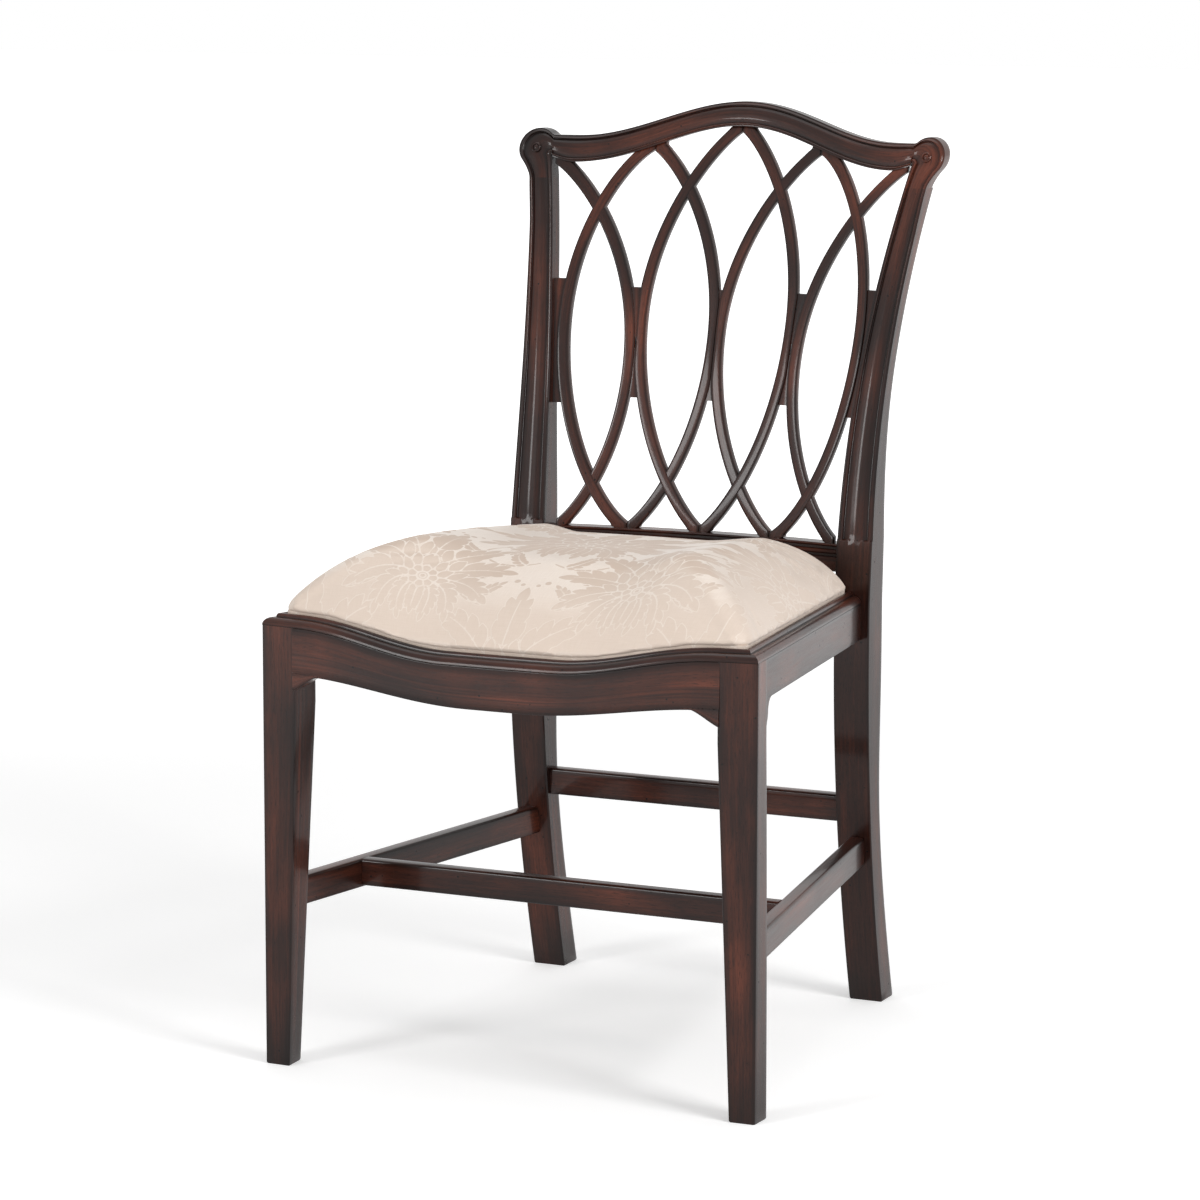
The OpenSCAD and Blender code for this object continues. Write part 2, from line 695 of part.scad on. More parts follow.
function ear_pair(t) =
  let (a = lerp(ear_start, ear_end, t), b = 90 * t)
  [[corner_x + corner_r * cos(b), corner_z + corner_r * sin(b)],
    [boss_x + ear_r * cos(a), ear_z + ear_r * sin(a)]];
neck_outer = [post_x(joint_z) + post_top_w, joint_z];
function neck_pair(t) =
  let (z = lerp(joint_z, corner_z, t), e = ear_pair(0)[1])
  [[post_x(z), z],
    [lerp(neck_outer[0], e[0], pow(t, neck_share)), lerp(neck_outer[1], e[1], t)]];
function crest_pair(t) =
  let (xi = corner_x * (1 - t), xo = notch_x * (1 - t))
  [[xi, crest_low(xi)], [xo, crest_top(xo)]];

crest_pairs = concat(
  [[for (p = neck_pair(0)) p - [0, over]]],
  [for (i = [0:2]) neck_pair(i / 3)],
  [for (i = [0:ear_steps]) ear_pair(i / ear_steps)],
  [for (i = [0:crest_steps]) crest_pair(i / crest_steps)]);

// Section from the inner edge to the outer edge, then round the back
function crest_ring(pair) = concat(
  [for (i = [0:len(face_shares) - 1])
    let (p = lerp(pair[0], pair[1], face_shares[i]))
    [p[0], back_y(p[0], p[1]) + face_depth * face_depth_shares[i], p[1]]],
  let (w = norm(pair[1] - pair[0]), r = crest_round / w)
  [for (s = [[1, 1], [1 - (1 - sin(45)) * r[0], 1 - sin(45)], [1 - r[0], 0],
      [r[0], 0], [(1 - sin(45)) * r[0], 1 - sin(45)], [0, 1]])
    let (p = lerp(pair[0], pair[1], s[0]))
    [p[0], back_y(p[0], p[1]) + crest_d - crest_round[1] * s[1], p[1]]]);

module crest_rail() {
  half = [for (pair = crest_pairs) crest_ring(pair)];
  whole = concat(half, [for (i = [len(half) - 2:-1:0]) mirror_x(half[i])]);
  color(mahogany) difference() {
    union() {
      skin(whole);
      for (side = [-1, 1]) sided(side) boss();
    }
    for (side = [-1, 1]) sided(side) {
      beyond_joint(false);
      post_top_tenon(fit_gap);
      for (lath = [0:3]) lath_tenon(lath, true, fit_gap);
    }
  }
}

boss_lean = atan((rake_y(boss_z + over) - rake_y(boss_z - over)) / (2 * over));
boss_fn = 48;
module boss() {
  translate([boss_x, back_y(boss_x, boss_z), boss_z]) rotate([90 - boss_lean, 0, 0])
    translate([0, 0, -face_depth]) cylinder(h = boss_h + face_depth, r = boss_r, $fn = boss_fn);
}

// LOWER BACK RAIL
low_rail_steps = 28;
// Height shares of its moulded face and the depth share of each
low_face_shares = [0, 0.5, 0.55, 0.62, 0.68, 0.74, 0.8, 0.88, 0.95, 1];
low_depth_shares = [0, 0, 0.8, 0.8, 0.2, 0.2, 1, 1, 0.2, 0.4];
function low_rail_ring(x) =
  let (z0 = low_rail_top - low_rail_h)
  concat(
    [for (i = [0:len(low_face_shares) - 1]) let (z = z0 + low_rail_h * low_face_shares[i])
      [x, back_y(x, z) + face_depth * low_depth_shares[i], z]],
    [[x, back_y(x, low_rail_top) + low_rail_d, low_rail_top], [x, back_y(x, z0) + low_rail_d, z0]]);

function edge_ring(side) = let (z0 = low_rail_top - low_rail_h, ring = low_rail_ring(side * post_in))
  [for (p = ring) [side * post_x(p[2]), p[1], p[2]]];

module low_rail_tenons(grow) {
  z_mid = low_rail_top - low_rail_h / 2;
  y_mid = post_y + rake_y(z_mid) + low_rail_d / 2 + tenon_t / 4;
  for (side = [-1, 1]) sided(side)
    block([post_in - tenon_shoulder, y_mid - tenon_t / 2, low_rail_top - low_rail_h + tenon_shoulder / 2],
      [post_in + tenon_l, y_mid + tenon_t / 2, low_rail_top - tenon_shoulder], grow);
}

module lower_back_rail() {
  color(mahogany) difference() {
    union() {
      skin(concat([edge_ring(1)],
        [for (i = [1:low_rail_steps - 1]) low_rail_ring(lerp(post_in, -post_in, i / low_rail_steps))],
        [edge_ring(-1)]));
      low_rail_tenons(0);
    }
    for (side = [-1, 1]) sided(side) for (lath = [0:3]) lath_tenon(lath, false, fit_gap);
  }
}

// TRELLIS
// Laths of the right half. Each springs from one line and swells towards the next.
// 0 springs from the middle and swells out, 1 springs from the first line and swells in,
// 2 springs from the first line and swells out, 3 springs from the outer line and swells in.
lath_line = [0, 1, 1, 2];
lath_way = [1, -1, 1, -1];
swell_z0 = low_rail_top;
function line_end_z(k) = crest_low(lath_top_x[k]);
function line_x(k, z) = lerp(lath_low_x[k], lath_top_x[k], (z - swell_z0) / (line_end_z(k) - swell_z0));
function swell(lath) = lath == 2 ? lath_bulge_post : lath_bulge;
function fullness(lath) = lath == 2 ? swell_full_post_share : swell_full_share;

function lath_x(lath, z) =
  let (k = lath_line[lath], t = (z - swell_z0) / (line_end_z(k) - swell_z0), m = swell_mid_share,
    s = t > m ? (t - m) / (1 - m) : (m - t) / m)
  line_x(k, z) + lath_way[lath] * swell(lath) * pow(max(0, 1 - s * s), fullness(lath));

// Sideways half-width of a lath at a height, from its slope there
slope_step = 2;
function lath_slope(lath, z) =
  let (z1 = min(z, line_end_z(lath_line[lath]) - slope_step), z0 = max(z1, swell_z0 + slope_step))
  (lath_x(lath, z0 + slope_step) - lath_x(lath, z0 - slope_step)) / (2 * slope_step);
function lath_half(lath, z) = lath_w / 2 * norm([1, lath_slope(lath, z)]);

// The next line over, which a lath is planed to where it touches its neighbour
function stop_x(lath, z) = lath == 2 ? boss_x : line_x(lath_line[lath] + lath_way[lath], z);

// Inner (0) and outer (1) edge of a lath, kept between its two lines
function lath_edge(lath, outer, z, grow) =
  let (x = lath_x(lath, z) + (outer ? 1 : -1) * (lath_half(lath, z) + grow), k = lath_line[lath],
    a = line_x(k, z), b = stop_x(lath, z), low = min(a, b) + fit_gap - grow, high = max(a, b) - fit_gap + grow)
  min(high, max(low, x));

// Gap between a lath's top and the crest's lower edge, wider under the crest's turn
lath_top_gap = [0.35, 0.35, 0.35, 0.9];
// Height at which an edge meets the crest's lower edge
function edge_top(lath, outer, z0, z1, n = 24) =
  let (zm = (z0 + z1) / 2)
  n == 0 ? zm
  : crest_low(abs(lath_edge(lath, outer, zm, 0))) - lath_top_gap[lath] > zm ? edge_top(lath, outer, zm, z1, n - 1)
  : edge_top(lath, outer, z0, zm, n - 1);

lath_rings = 20;
function lath_y(x, z) = back_y(x, z) + lath_recess - lath_recess_loss * pow(x / bow_x, 2);
function lath_ring(lath, z_in, z_out, front, back, grow) = [
  for (p = [[false, z_in, front], [true, z_out, front], [true, z_out, back], [false, z_in, back]])
    let (x = lath_edge(lath, p[0], p[1], grow))
    [x, lath_y(x, p[1]) + p[2], p[1]]];

module lath_blank(lath, front = 0, back = lath_d, grow = 0) {
  z_search = crest_low(boss_x) - crest_drop;
  top_in = edge_top(lath, false, z_search, crest_h);
  top_out = edge_top(lath, true, z_search, crest_h);
  skin([for (i = [0:lath_rings]) let (t = ease(i / lath_rings))
    lath_ring(lath, lerp(swell_z0, top_in, t), lerp(swell_z0, top_out, t), front, back, grow)]);
}

// The half lap that the other lath of a bay needs, in front of the laths' middle or behind it
lap_gap = fit_gap;
module lap(other, in_front) {
  middle = lath_d / 2;
  lath_blank(other, in_front ? -lath_recess : middle - lap_gap / 2,
    in_front ? middle + lap_gap / 2 : lath_d + lath_recess, lap_gap);
}

module lath_tenon(lath, at_top, grow) {
  k = lath_line[lath];
  z = at_top ? line_end_z(k) : low_rail_top;
  sink = lath_w / 2;
  x = line_x(k, z) + lath_way[lath] * (lath_tenon_w / 2 + 2 * fit_gap + over / 2);
  y = lath_y(x, z) + lath_d / 2;
  z0 = at_top ? z - sink : z - lath_tenon_l;
  z1 = at_top ? z + lath_tenon_l : z + sink;
  block([x - lath_tenon_w / 2, y - lath_d / 4, z0], [x + lath_tenon_w / 2, y + lath_d / 4, z1], grow);
}

module lath(lath) {
  other = lath == 0 ? 1 : lath == 1 ? 0 : lath == 2 ? 3 : 2;
  color(mahogany) difference() {
    union() {
      lath_blank(lath);
      lath_tenon(lath, true, 0);
      lath_tenon(lath, false, 0);
    }
    // Outward laths are cut from behind, inward laths from the front
    lap(other, lath_way[lath] < 0);
  }
}

// SPACERS
spacer_mid_share = 0.49;
spacer_mid_z = lerp(low_rail_top, boss_z, spacer_mid_share);
spacer_rings = 8;
spacer_d = lath_d - 2 * spacer_recess;
module post_spacer() {
  color(mahogany) skin([for (i = [0:spacer_rings])
    let (z = spacer_mid_z + post_spacer_l * (i / spacer_rings - 0.5),
      x0 = lath_edge(2, true, z, fit_gap), x1 = post_x(z) - fit_gap)
    [for (p = [[x0, 0], [x1, 0], [x1, spacer_d], [x0, spacer_d]])
      [p[0], lath_y(p[0], z) + spacer_recess + p[1], z]]]);
}

// Wedges that fill the hollows above and below each place where two laths touch
wedge_tip = 1;
wedge_rings = 5;
function wedge_left(k, z) = k == 0 ? -lath_edge(1, false, z, fit_gap) : lath_edge(0, true, z, fit_gap);
function wedge_right(k, z) = k == 0 ? lath_edge(1, false, z, fit_gap) : lath_edge(3, false, z, fit_gap);
function tip_z(k, z_open, z_shut, n = 20) =
  let (zm = (z_open + z_shut) / 2)
  n == 0 ? z_open : wedge_right(k, zm) - wedge_left(k, zm) > wedge_tip
    ? tip_z(k, zm, z_shut, n - 1) : tip_z(k, z_open, zm, n - 1);

module wedge(k, up) {
  z_open = spacer_mid_z + (up ? 1 : -1) * spacer_l / 2;
  z_tip = tip_z(k, z_open, spacer_mid_z + spacer_l / 24);
  z0 = min(z_open, z_tip);
  z1 = max(z_open, z_tip);
  skin([for (i = [0:wedge_rings])
    let (z = lerp(z0, z1, i / wedge_rings), x0 = wedge_left(k, z), x1 = wedge_right(k, z))
    [for (p = [[x0, 0], [x1, 0], [x1, spacer_d], [x0, spacer_d]])
      [p[0], lath_y(p[0], z) + spacer_recess + p[1], z]]]);
}

module lath_spacers() {
  color(mahogany) for (up = [true, false]) {
    wedge(0, up);
    for (side = [-1, 1]) sided(side) wedge(1, up);
  }
}

// STRETCHERS
// Section of a stretcher, with its top edges rounded
module bar(length, height) {
  round_steps = 4;
  rotate([90, 0, 0]) mirror([0, 0, 1]) linear_extrude(length)
    polygon(concat([[-stretcher_t / 2, 0], [stretcher_t / 2, 0]],
      [for (i = [0:round_steps]) let (a = 90 * i / round_steps)
        [stretcher_t / 2 - stretcher_round * (1 - cos(a)), height - stretcher_round * (1 - sin(a))]],
      [for (i = [round_steps:-1:0]) let (a = 90 * i / round_steps)
        [-stretcher_t / 2 + stretcher_round * (1 - cos(a)), height - stretcher_round * (1 - sin(a))]]));
}

module side_stretcher() {
  color(mahogany) difference() {
    union() {
      difference() {
        stretcher_frame() translate([0, -tenon_shoulder, stretcher_z - stretcher_h])
          bar(stretcher_run + tenon_shoulder + post_d, stretcher_h);
        // Cut to the back face of the leg and the front face of the post
        leg_blank();
        post_face_cutter();
      }
      side_stretcher_tenon(false, 0);
      side_stretcher_tenon(true, 0);
    }
    medial_tenons(fit_gap);
  }
}

// Everything behind the posts' front faces near the stretchers
module post_face_cutter() {
  z_step = block_low_z / post_rings_low;
  translate([-seat_w / 2, 0, 0]) rotate([90, 0, 90]) linear_extrude(seat_w)
    polygon(concat([for (i = [0:post_rings_low]) [post_y + rake_y(i * z_step), i * z_step]],
      [[post_y + seat_d, block_low_z], [post_y + seat_d, 0]]));
}

medial_front = corner_y + medial_y;
medial_x = stretcher_front_x - (medial_front - stretcher_front_y) * tan(stretcher_turn);
medial_z0 = stretcher_z - stretcher_h + 2 * over;
medial_h = stretcher_h - 2 * over;
medial_tenon_share = 0.45;
medial_tenon_l = stretcher_t * medial_tenon_share;
module medial_tenons(grow) {
  for (side = [-1, 1]) sided(side)
    translate([medial_x, medial_front, 0]) rotate([0, 0, stretcher_turn])
      block([-stretcher_t / 2 - tenon_shoulder, stretcher_t / 2 - tenon_t / 2, medial_z0 + tenon_shoulder],
        [-stretcher_t / 2 + medial_tenon_l, stretcher_t / 2 + tenon_t / 2, medial_z0 + medial_h - tenon_shoulder],
        grow);
}

module medial_stretcher() {
  color(mahogany) {
    difference() {
      translate([-seat_w / 2, medial_front + stretcher_t / 2, medial_z0]) rotate([0, 0, -90]) bar(seat_w, medial_h);
      for (side = [-1, 1]) sided(side) stretcher_frame()
        block([-stretcher_t / 2, -seat_w, 0], [seat_w, 2 * seat_w, seat_h]);
    }
    medial_tenons(0);
  }
}

rear_z0 = rear_stretcher_z - rear_stretcher_h;
rear_mid_z = rear_z0 + rear_stretcher_h / 2;
rear_y = post_y + rake_y(rear_mid_z) + post_depth(rear_mid_z) / 2;
module rear_stretcher_tenons(grow) {
  block([-post_in - tenon_l, rear_y - tenon_t / 2, rear_z0 + tenon_shoulder],
    [post_in + tenon_l, rear_y + tenon_t / 2, rear_stretcher_z - tenon_shoulder], grow);
}

module rear_stretcher() {
  color(mahogany) {
    translate([-post_in, rear_y, rear_z0]) rotate([0, 0, -90]) bar(2 * post_in, rear_stretcher_h);
    rear_stretcher_tenons(0);
  }
}

// LIFT-OUT SEAT
// The space for the seat: the moulding's inner edges and the fronts of the posts
seat_edge = cap_w + seat_gap;
seat_back_y = seat_d - 2 * seat_gap;
frame_inset = seat_edge + cover_t + fit_gap;
function side_x(inset, y) = seat_w / 2 - (inset + y * sin(seat_splay)) / cos(seat_splay);
function front_y(inset, x) = front_arc_y - sqrt(pow(front_r - inset, 2) - x * x);

// Outline of the seat in plan at an inset from the rails' faces, with rounded corners:
// the right half runs from the middle of the front to the middle of the back
corner_steps = 4;
edge_steps = 5;
back_steps = 4;
function seat_half(inset, r, back_in) =
  let (back = seat_back_y - back_in,
    fy = front_y(inset + r, side_x(inset + r, inset + r)), fx = side_x(inset + r, fy), a0 = asin(fx / front_r) - 90,
    bx = side_x(inset + r, back - r), by = back - r)
  concat(
    [for (i = [0:edge_steps - 1]) let (x = fx * i / edge_steps) [x, front_y(inset, x)]],
    [for (i = [0:corner_steps]) let (a = lerp(a0, seat_splay, i / corner_steps)) [fx + r * cos(a), fy + r * sin(a)]],
    [for (i = [1:edge_steps - 1])
      let (y = lerp(fy, by, i / edge_steps) + r * sin(seat_splay)) [side_x(inset, y), y]],
    [for (i = [0:corner_steps]) let (a = lerp(seat_splay, 90, i / corner_steps)) [bx + r * cos(a), by + r * sin(a)]],
    [for (i = [1:back_steps - 1]) [bx * (1 - i / back_steps), back]]);

function seat_loop(inset, r, back_in) =
  let (half = seat_half(inset, r, back_in), n = len(half))
  concat(half, [[0, half[n - 1][1]]], [for (i = [n - 1:-1:1]) [-half[i][0], half[i][1]]]);

// The frame's corners are rounder, to clear the cushion's
frame_corner_r = 18;
module seat_outline(inset) {
  translate([0, 0, -seat_h]) linear_extrude(2 * seat_h)
    polygon(seat_loop(inset, frame_corner_r, inset - seat_edge));
}

front_member_y = seat_frame_w;
back_member_y = seat_back_y - seat_frame_w;
frame_top = seat_lift_gap + seat_frame_t;

// The side members' tongues, which the front and back members receive
tongue_l = seat_frame_w / 2;
module seat_tongue(at_back, grow) {
  y = at_back ? back_member_y : front_member_y;
  x = side_x(frame_inset, y) - seat_frame_w / 2;
  third = seat_frame_t / 3;
  block([x - seat_frame_w / 4, at_back ? y - over : y - tongue_l, seat_lift_gap + third],
    [x + seat_frame_w / 4, at_back ? y + tongue_l : y + over, seat_lift_gap + 2 * third], grow);
}

module seat_frame_front() {
  color(beech) seat_plane() difference() {
    intersection() {
      seat_outline(frame_inset);
      dipped_band(seat_lift_gap, frame_top, seat_w / 2, seat_w);
      block([-seat_w, -seat_w, -seat_h], [seat_w, front_member_y, seat_h]);
    }
    for (side = [-1, 1]) sided(side) seat_tongue(false, fit_gap);
  }
}

module seat_frame_back() {
  color(beech) seat_plane() difference() {
    intersection() {
      seat_outline(frame_inset);
      block([-seat_w, back_member_y, seat_lift_gap], [seat_w, seat_d, frame_top]);
    }
    for (side = [-1, 1]) sided(side) seat_tongue(true, fit_gap);
  }
}

module seat_frame_side() {
  color(beech) seat_plane() {
    intersection() {
      translate([seat_w / 2, 0, 0]) rotate([0, 0, seat_splay])
        block([-frame_inset - seat_frame_w, -seat_w, -seat_h], [-frame_inset, 2 * seat_w, seat_h]);
      block([0, front_member_y, seat_lift_gap], [seat_w, back_member_y, frame_top]);
    }
    for (at_back = [true, false]) seat_tongue(at_back, 0);
  }
}

// The dip in the plane of the seat: full over the front of the seat frame, none at the back
dip_fade_share = 0.74;
function seat_dip(x, y) = dip(x) * (1 - ease((y - seat_frame_w) / (seat_d * dip_fade_share)));

// Webbing on top of the frame: three bands across over four bands front to back.
// It sags with the dip in the middle and lies flat on the side members
web_pitch_share = 1.45;
web_steps = 12;
web_flat_x = 2 * web_w * web_pitch_share;
function web_dip(x, y) = seat_dip(x, y)
  * (1 - ease((abs(x) - web_flat_x) / (side_x(frame_inset + seat_frame_w, y) - web_flat_x)));

// A strip of webbing from a to b, at a level above the frame
module web_strip(a, b, lift) {
  along = (b - a) / norm(b - a);
  across = [-along[1], along[0]] * web_w / 2;
  skin([for (i = [0:web_steps]) let (c = lerp(a, b, i / web_steps))
    [for (s = [[-1, 1], [-1, 0], [1, 0], [1, 1]]) let (p = c + s[0] * across)
      [p[0], p[1], frame_top + lift + s[1] * web_t - web_dip(p[0], p[1])]]]);
}

module seat_webbing() {
  reach = seat_frame_w / 2;
  color(jute) seat_plane() {
    for (i = [0:3]) let (x = (i - 1.5) * web_w * web_pitch_share)
      web_strip([x, front_member_y - reach], [x, back_member_y + reach], fit_gap);
    for (i = [0:2])
      let (y = lerp(front_member_y, back_member_y, (i + 0.5) / 3), x = side_x(frame_inset, y + web_w / 2) - reach / 2)
      web_strip([-x, y], [x, y], web_t + 2 * fit_gap);
  }
}

// CUSHION
// The widest outline shrinks towards the middle in rings that rise to the crown, and
// the corners are drawn down
cushion_front_y = seat_edge - cushion_swell;
cushion_mid_y = (seat_back_y + cushion_front_y) / 2;
cushion_shares = [0.996, 0.985, 0.96, 0.92, 0.85, 0.74, 0.58, 0.38, 0.17];
foam_start = 2;
crown_share = 2.9;
edge_share = 0.52;
corner_fall_share = 0.25;
corner_power_share = 2.1;
swell_share = 0.7;
pad_clear = 1.5;
function level(loop, z) = [for (p = loop) [p[0], p[1], z - seat_dip(p[0], p[1])]];
function corner_fall(q) =
  let (x = abs(q[0]) / side_x(cushion_front_y, q[1]), y = abs(q[1] - cushion_mid_y) / (seat_back_y - cushion_mid_y))
  1 - corner_fall_share * pow(min(1, x * y), corner_power_share);
function cushion_z(q, s, thick) = cap_h + cushion_low_h - seat_dip(q[0], q[1])
  + (cushion_h - thick) * pow(1 - pow(s, crown_share), edge_share) * corner_fall(q);
function shrunk(thick, s) = [for (p = seat_loop(cushion_front_y + thick, cushion_corner_r, thick))
  [p[0] * s, cushion_mid_y + (p[1] - cushion_mid_y) * s]];
function crown_rings(thick, first) = [for (i = [first:len(cushion_shares) - 1]) let (s = cushion_shares[i])
  [for (q = shrunk(thick, s)) [q[0], q[1], cushion_z(q, s, thick)]]];
function crown_point(thick) = let (q = [0, cushion_mid_y]) [q[0], q[1], cushion_z(q, 0, thick)];

// Height of the cover's hem over the bottom of the frame
hem_lift = 1.6;
// Rings of the cover from its lower edge to its crown
function cover_rings(thick) = concat(
  [level(seat_loop(seat_edge + thick, seat_corner_r, thick), seat_lift_gap + hem_lift),
    level(seat_loop(seat_edge + thick, seat_corner_r, thick), cap_h),
    level(seat_loop(seat_edge + thick - cushion_swell * swell_share,
      lerp(seat_corner_r, cushion_corner_r, swell_share), thick), cap_h + cushion_low_h / 2),
    level(seat_loop(cushion_front_y + thick, cushion_corner_r, thick), cap_h + cushion_low_h)],
  crown_rings(thick, 0));

// The foam's bottom lies on the webbing
module foam_pad() {
  thick = cover_t + fit_gap;
  bottom = frame_top + 2 * web_t + 2 * fit_gap + pad_clear;
  under = [for (s = [0.25, 0.5, 0.75, 1]) [for (q = shrunk(thick, s * cushion_shares[foam_start]))
    [q[0], q[1], bottom - web_dip(q[0], q[1])]]];
  color(foam) seat_plane()
    capped(concat(under, crown_rings(thick, foam_start)),
      [0, cushion_mid_y, bottom - web_dip(0, cushion_mid_y)], crown_point(thick));
}

// The cover is a shell: its outer skin, then back along its inner skin
module damask_cover() {
  color(damask) seat_plane()
    shell(cover_rings(0), cover_rings(cover_t), crown_point(0), crown_point(cover_t));
}

// Triangles round the sides of rings of n points, m of them, from a first point
function ring_faces(n, m, base, flip) = [for (j = [0:m - 2]) for (i = [0:n - 1])
  let (a = base + j * n + i, b = base + j * n + (i + 1) % n)
  each (flip ? [[a, b, b + n], [a, b + n, a + n]] : [[a, b + n, b], [a, a + n, b + n]])];
function fan_faces(n, base, tip, flip) = [for (i = [0:n - 1]) let (a = base + i, b = base + (i + 1) % n)
  flip ? [a, b, tip] : [b, a, tip]];

// A closed skin whose ends are drawn to points
module capped(rings, low, high) {
  n = len(rings[0]);
  m = len(rings);
  points = concat([for (ring = rings) each ring], [low, high]);
  polyhedron(points, concat(ring_faces(n, m, 0, false), fan_faces(n, 0, n * m, true),
    fan_faces(n, n * (m - 1), n * m + 1, false)));
}

// A shell between two skins that are open at the bottom and drawn to points at the top
module shell(outer, inner, outer_tip, inner_tip) {
  n = len(outer[0]);
  m = len(outer);
  points = concat([for (ring = outer) each ring], [for (ring = inner) each ring], [outer_tip, inner_tip]);
  inner_at = n * m;
  hem = [for (i = [0:n - 1]) let (j = (i + 1) % n)
    each [[i, j, inner_at + j], [i, inner_at + j, inner_at + i]]];
  polyhedron(points, concat(ring_faces(n, m, 0, false), ring_faces(n, m, inner_at, true), hem,
    fan_faces(n, n * (m - 1), 2 * n * m, false), fan_faces(n, inner_at + n * (m - 1), 2 * n * m + 1, true)));
}

// A closed sheet between an upper and a lower grid of points, each a list of lines
module sheet(upper, lower) {
  n = len(upper[0]);
  m = len(upper);
  under = n * m;
  last = n * (m - 1);
  points = concat([for (line = upper) each line], [for (line = lower) each line]);
  both_sides = [for (j = [0:m - 2]) for (i = [0:n - 2]) let (a = j * n + i, b = under + a)
    each [[a, a + n, a + n + 1], [a, a + n + 1, a + 1], [b, b + n + 1, b + n], [b, b + 1, b + n + 1]]];
  front_and_back = [for (i = [0:n - 2]) let (a = i, b = last + i)
    each [[a, a + 1, under + a + 1], [a, under + a + 1, under + a],
      [b + 1, b, under + b], [b + 1, under + b, under + b + 1]]];
  ends = [for (j = [0:m - 2]) let (a = j * n, b = j * n + n - 1)
    each [[a + n, a, under + a], [a + n, under + a, under + a + n],
      [b, b + n, under + b + n], [b, under + b + n, under + b]]];
  polyhedron(points, concat(both_sides, front_and_back, ends));
}

// A cloth under the frame closes the seat, clear of the rails
dust_t = 0.8;
dust_steps = 8;
dust_across = 12;
function dust_line(y, z) = let (x = side_x(rail_t + 2 * seat_gap, y))
  [for (i = [0:dust_across]) let (px = lerp(-x, x, i / dust_across)) [px, y, z - seat_dip(px, y)]];
function dust_lines(z) = [for (i = [0:dust_steps])
  dust_line(lerp(front_member_y + over, seat_back_y - tenon_shoulder, i / dust_steps), z)];
module dust_cover() {
  color(black_cloth) seat_plane() sheet(dust_lines(seat_lift_gap), dust_lines(seat_lift_gap - dust_t));
}

sided(-1) front_leg();  // front_leg_left
sided(1) front_leg();  // front_leg_right
sided(-1) back_post();  // back_post_left
sided(1) back_post();  // back_post_right
front_seat_rail();
sided(-1) side_seat_rail();  // side_seat_rail_left
sided(1) side_seat_rail();  // side_seat_rail_right
back_seat_rail();
seat_moulding_front();
sided(-1) seat_moulding_side();  // seat_moulding_left
sided(1) seat_moulding_side();  // seat_moulding_right
sided(-1) knee_bracket_front();  // knee_bracket_front_left
sided(1) knee_bracket_front();  // knee_bracket_front_right
sided(-1) knee_bracket_side();  // knee_bracket_side_left
sided(1) knee_bracket_side();  // knee_bracket_side_right
sided(-1) corner_block(true);  // corner_block_front_left
sided(1) corner_block(true);  // corner_block_front_right
sided(-1) corner_block(false);  // corner_block_back_left
sided(1) corner_block(false);  // corner_block_back_right
corner_block_screws();
crest_rail();
lower_back_rail();
sided(-1) lath(3);  // lath_1
sided(-1) lath(2);  // lath_2
sided(-1) lath(1);  // lath_3
sided(-1) lath(0);  // lath_4
sided(1) lath(0);  // lath_5
sided(1) lath(1);  // lath_6
sided(1) lath(2);  // lath_7
sided(1) lath(3);  // lath_8
sided(-1) post_spacer();  // post_spacer_left
sided(1) post_spacer();  // post_spacer_right
lath_spacers();
sided(-1) side_stretcher();  // side_stretcher_left
sided(1) side_stretcher();  // side_stretcher_right
medial_stretcher();
rear_stretcher();
seat_frame_front();
seat_frame_back();
sided(-1) seat_frame_side();  // seat_frame_left
sided(1) seat_frame_side();  // seat_frame_right
seat_webbing();
foam_pad();
damask_cover();
dust_cover();
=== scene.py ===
"""Looks of the trellis back dining chair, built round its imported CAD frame.

Every visible wooden member is a surface swept through sections with eased arrises,
drawn with the sizes of the CAD. Sizes are in millimetres in the classes, and in
metres once a surface becomes a mesh. The cushion is cloth, simulated over its own
pillow form and woven with a procedural damask.
"""

import json
import logging
import math
from dataclasses import dataclass, field
from enum import Enum

import bmesh
import bpy
import numpy as np
from mathutils import Matrix, Vector

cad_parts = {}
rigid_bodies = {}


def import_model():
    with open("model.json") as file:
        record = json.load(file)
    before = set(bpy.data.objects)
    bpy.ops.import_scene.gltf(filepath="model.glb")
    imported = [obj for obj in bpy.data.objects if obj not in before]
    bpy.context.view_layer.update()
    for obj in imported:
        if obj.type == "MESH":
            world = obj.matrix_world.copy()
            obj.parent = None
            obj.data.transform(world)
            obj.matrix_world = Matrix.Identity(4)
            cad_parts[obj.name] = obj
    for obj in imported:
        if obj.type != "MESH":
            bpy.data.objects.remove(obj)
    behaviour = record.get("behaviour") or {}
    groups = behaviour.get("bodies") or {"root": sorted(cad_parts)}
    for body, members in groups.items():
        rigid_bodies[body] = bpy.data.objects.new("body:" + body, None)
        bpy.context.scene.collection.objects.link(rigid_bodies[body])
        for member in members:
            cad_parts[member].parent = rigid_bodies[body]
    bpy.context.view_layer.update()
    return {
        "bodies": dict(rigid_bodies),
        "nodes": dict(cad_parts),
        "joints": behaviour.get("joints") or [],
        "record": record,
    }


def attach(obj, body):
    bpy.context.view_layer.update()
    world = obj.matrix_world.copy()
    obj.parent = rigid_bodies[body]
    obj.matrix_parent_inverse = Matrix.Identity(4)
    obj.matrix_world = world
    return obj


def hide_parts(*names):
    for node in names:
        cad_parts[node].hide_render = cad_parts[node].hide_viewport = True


logging.basicConfig(level=logging.INFO, format="%(relativeCreated)d %(levelname)s %(message)s")
log = logging.getLogger("trellis_chair")

Number = float | np.ndarray
Pair = tuple[float, float]
Names = tuple[str, ...]
RingsAndTone = tuple[np.ndarray, np.ndarray]

MM = 0.001


class Body(str, Enum):
    """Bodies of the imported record."""

    FRAME = "frame"
    SEAT = "seat"


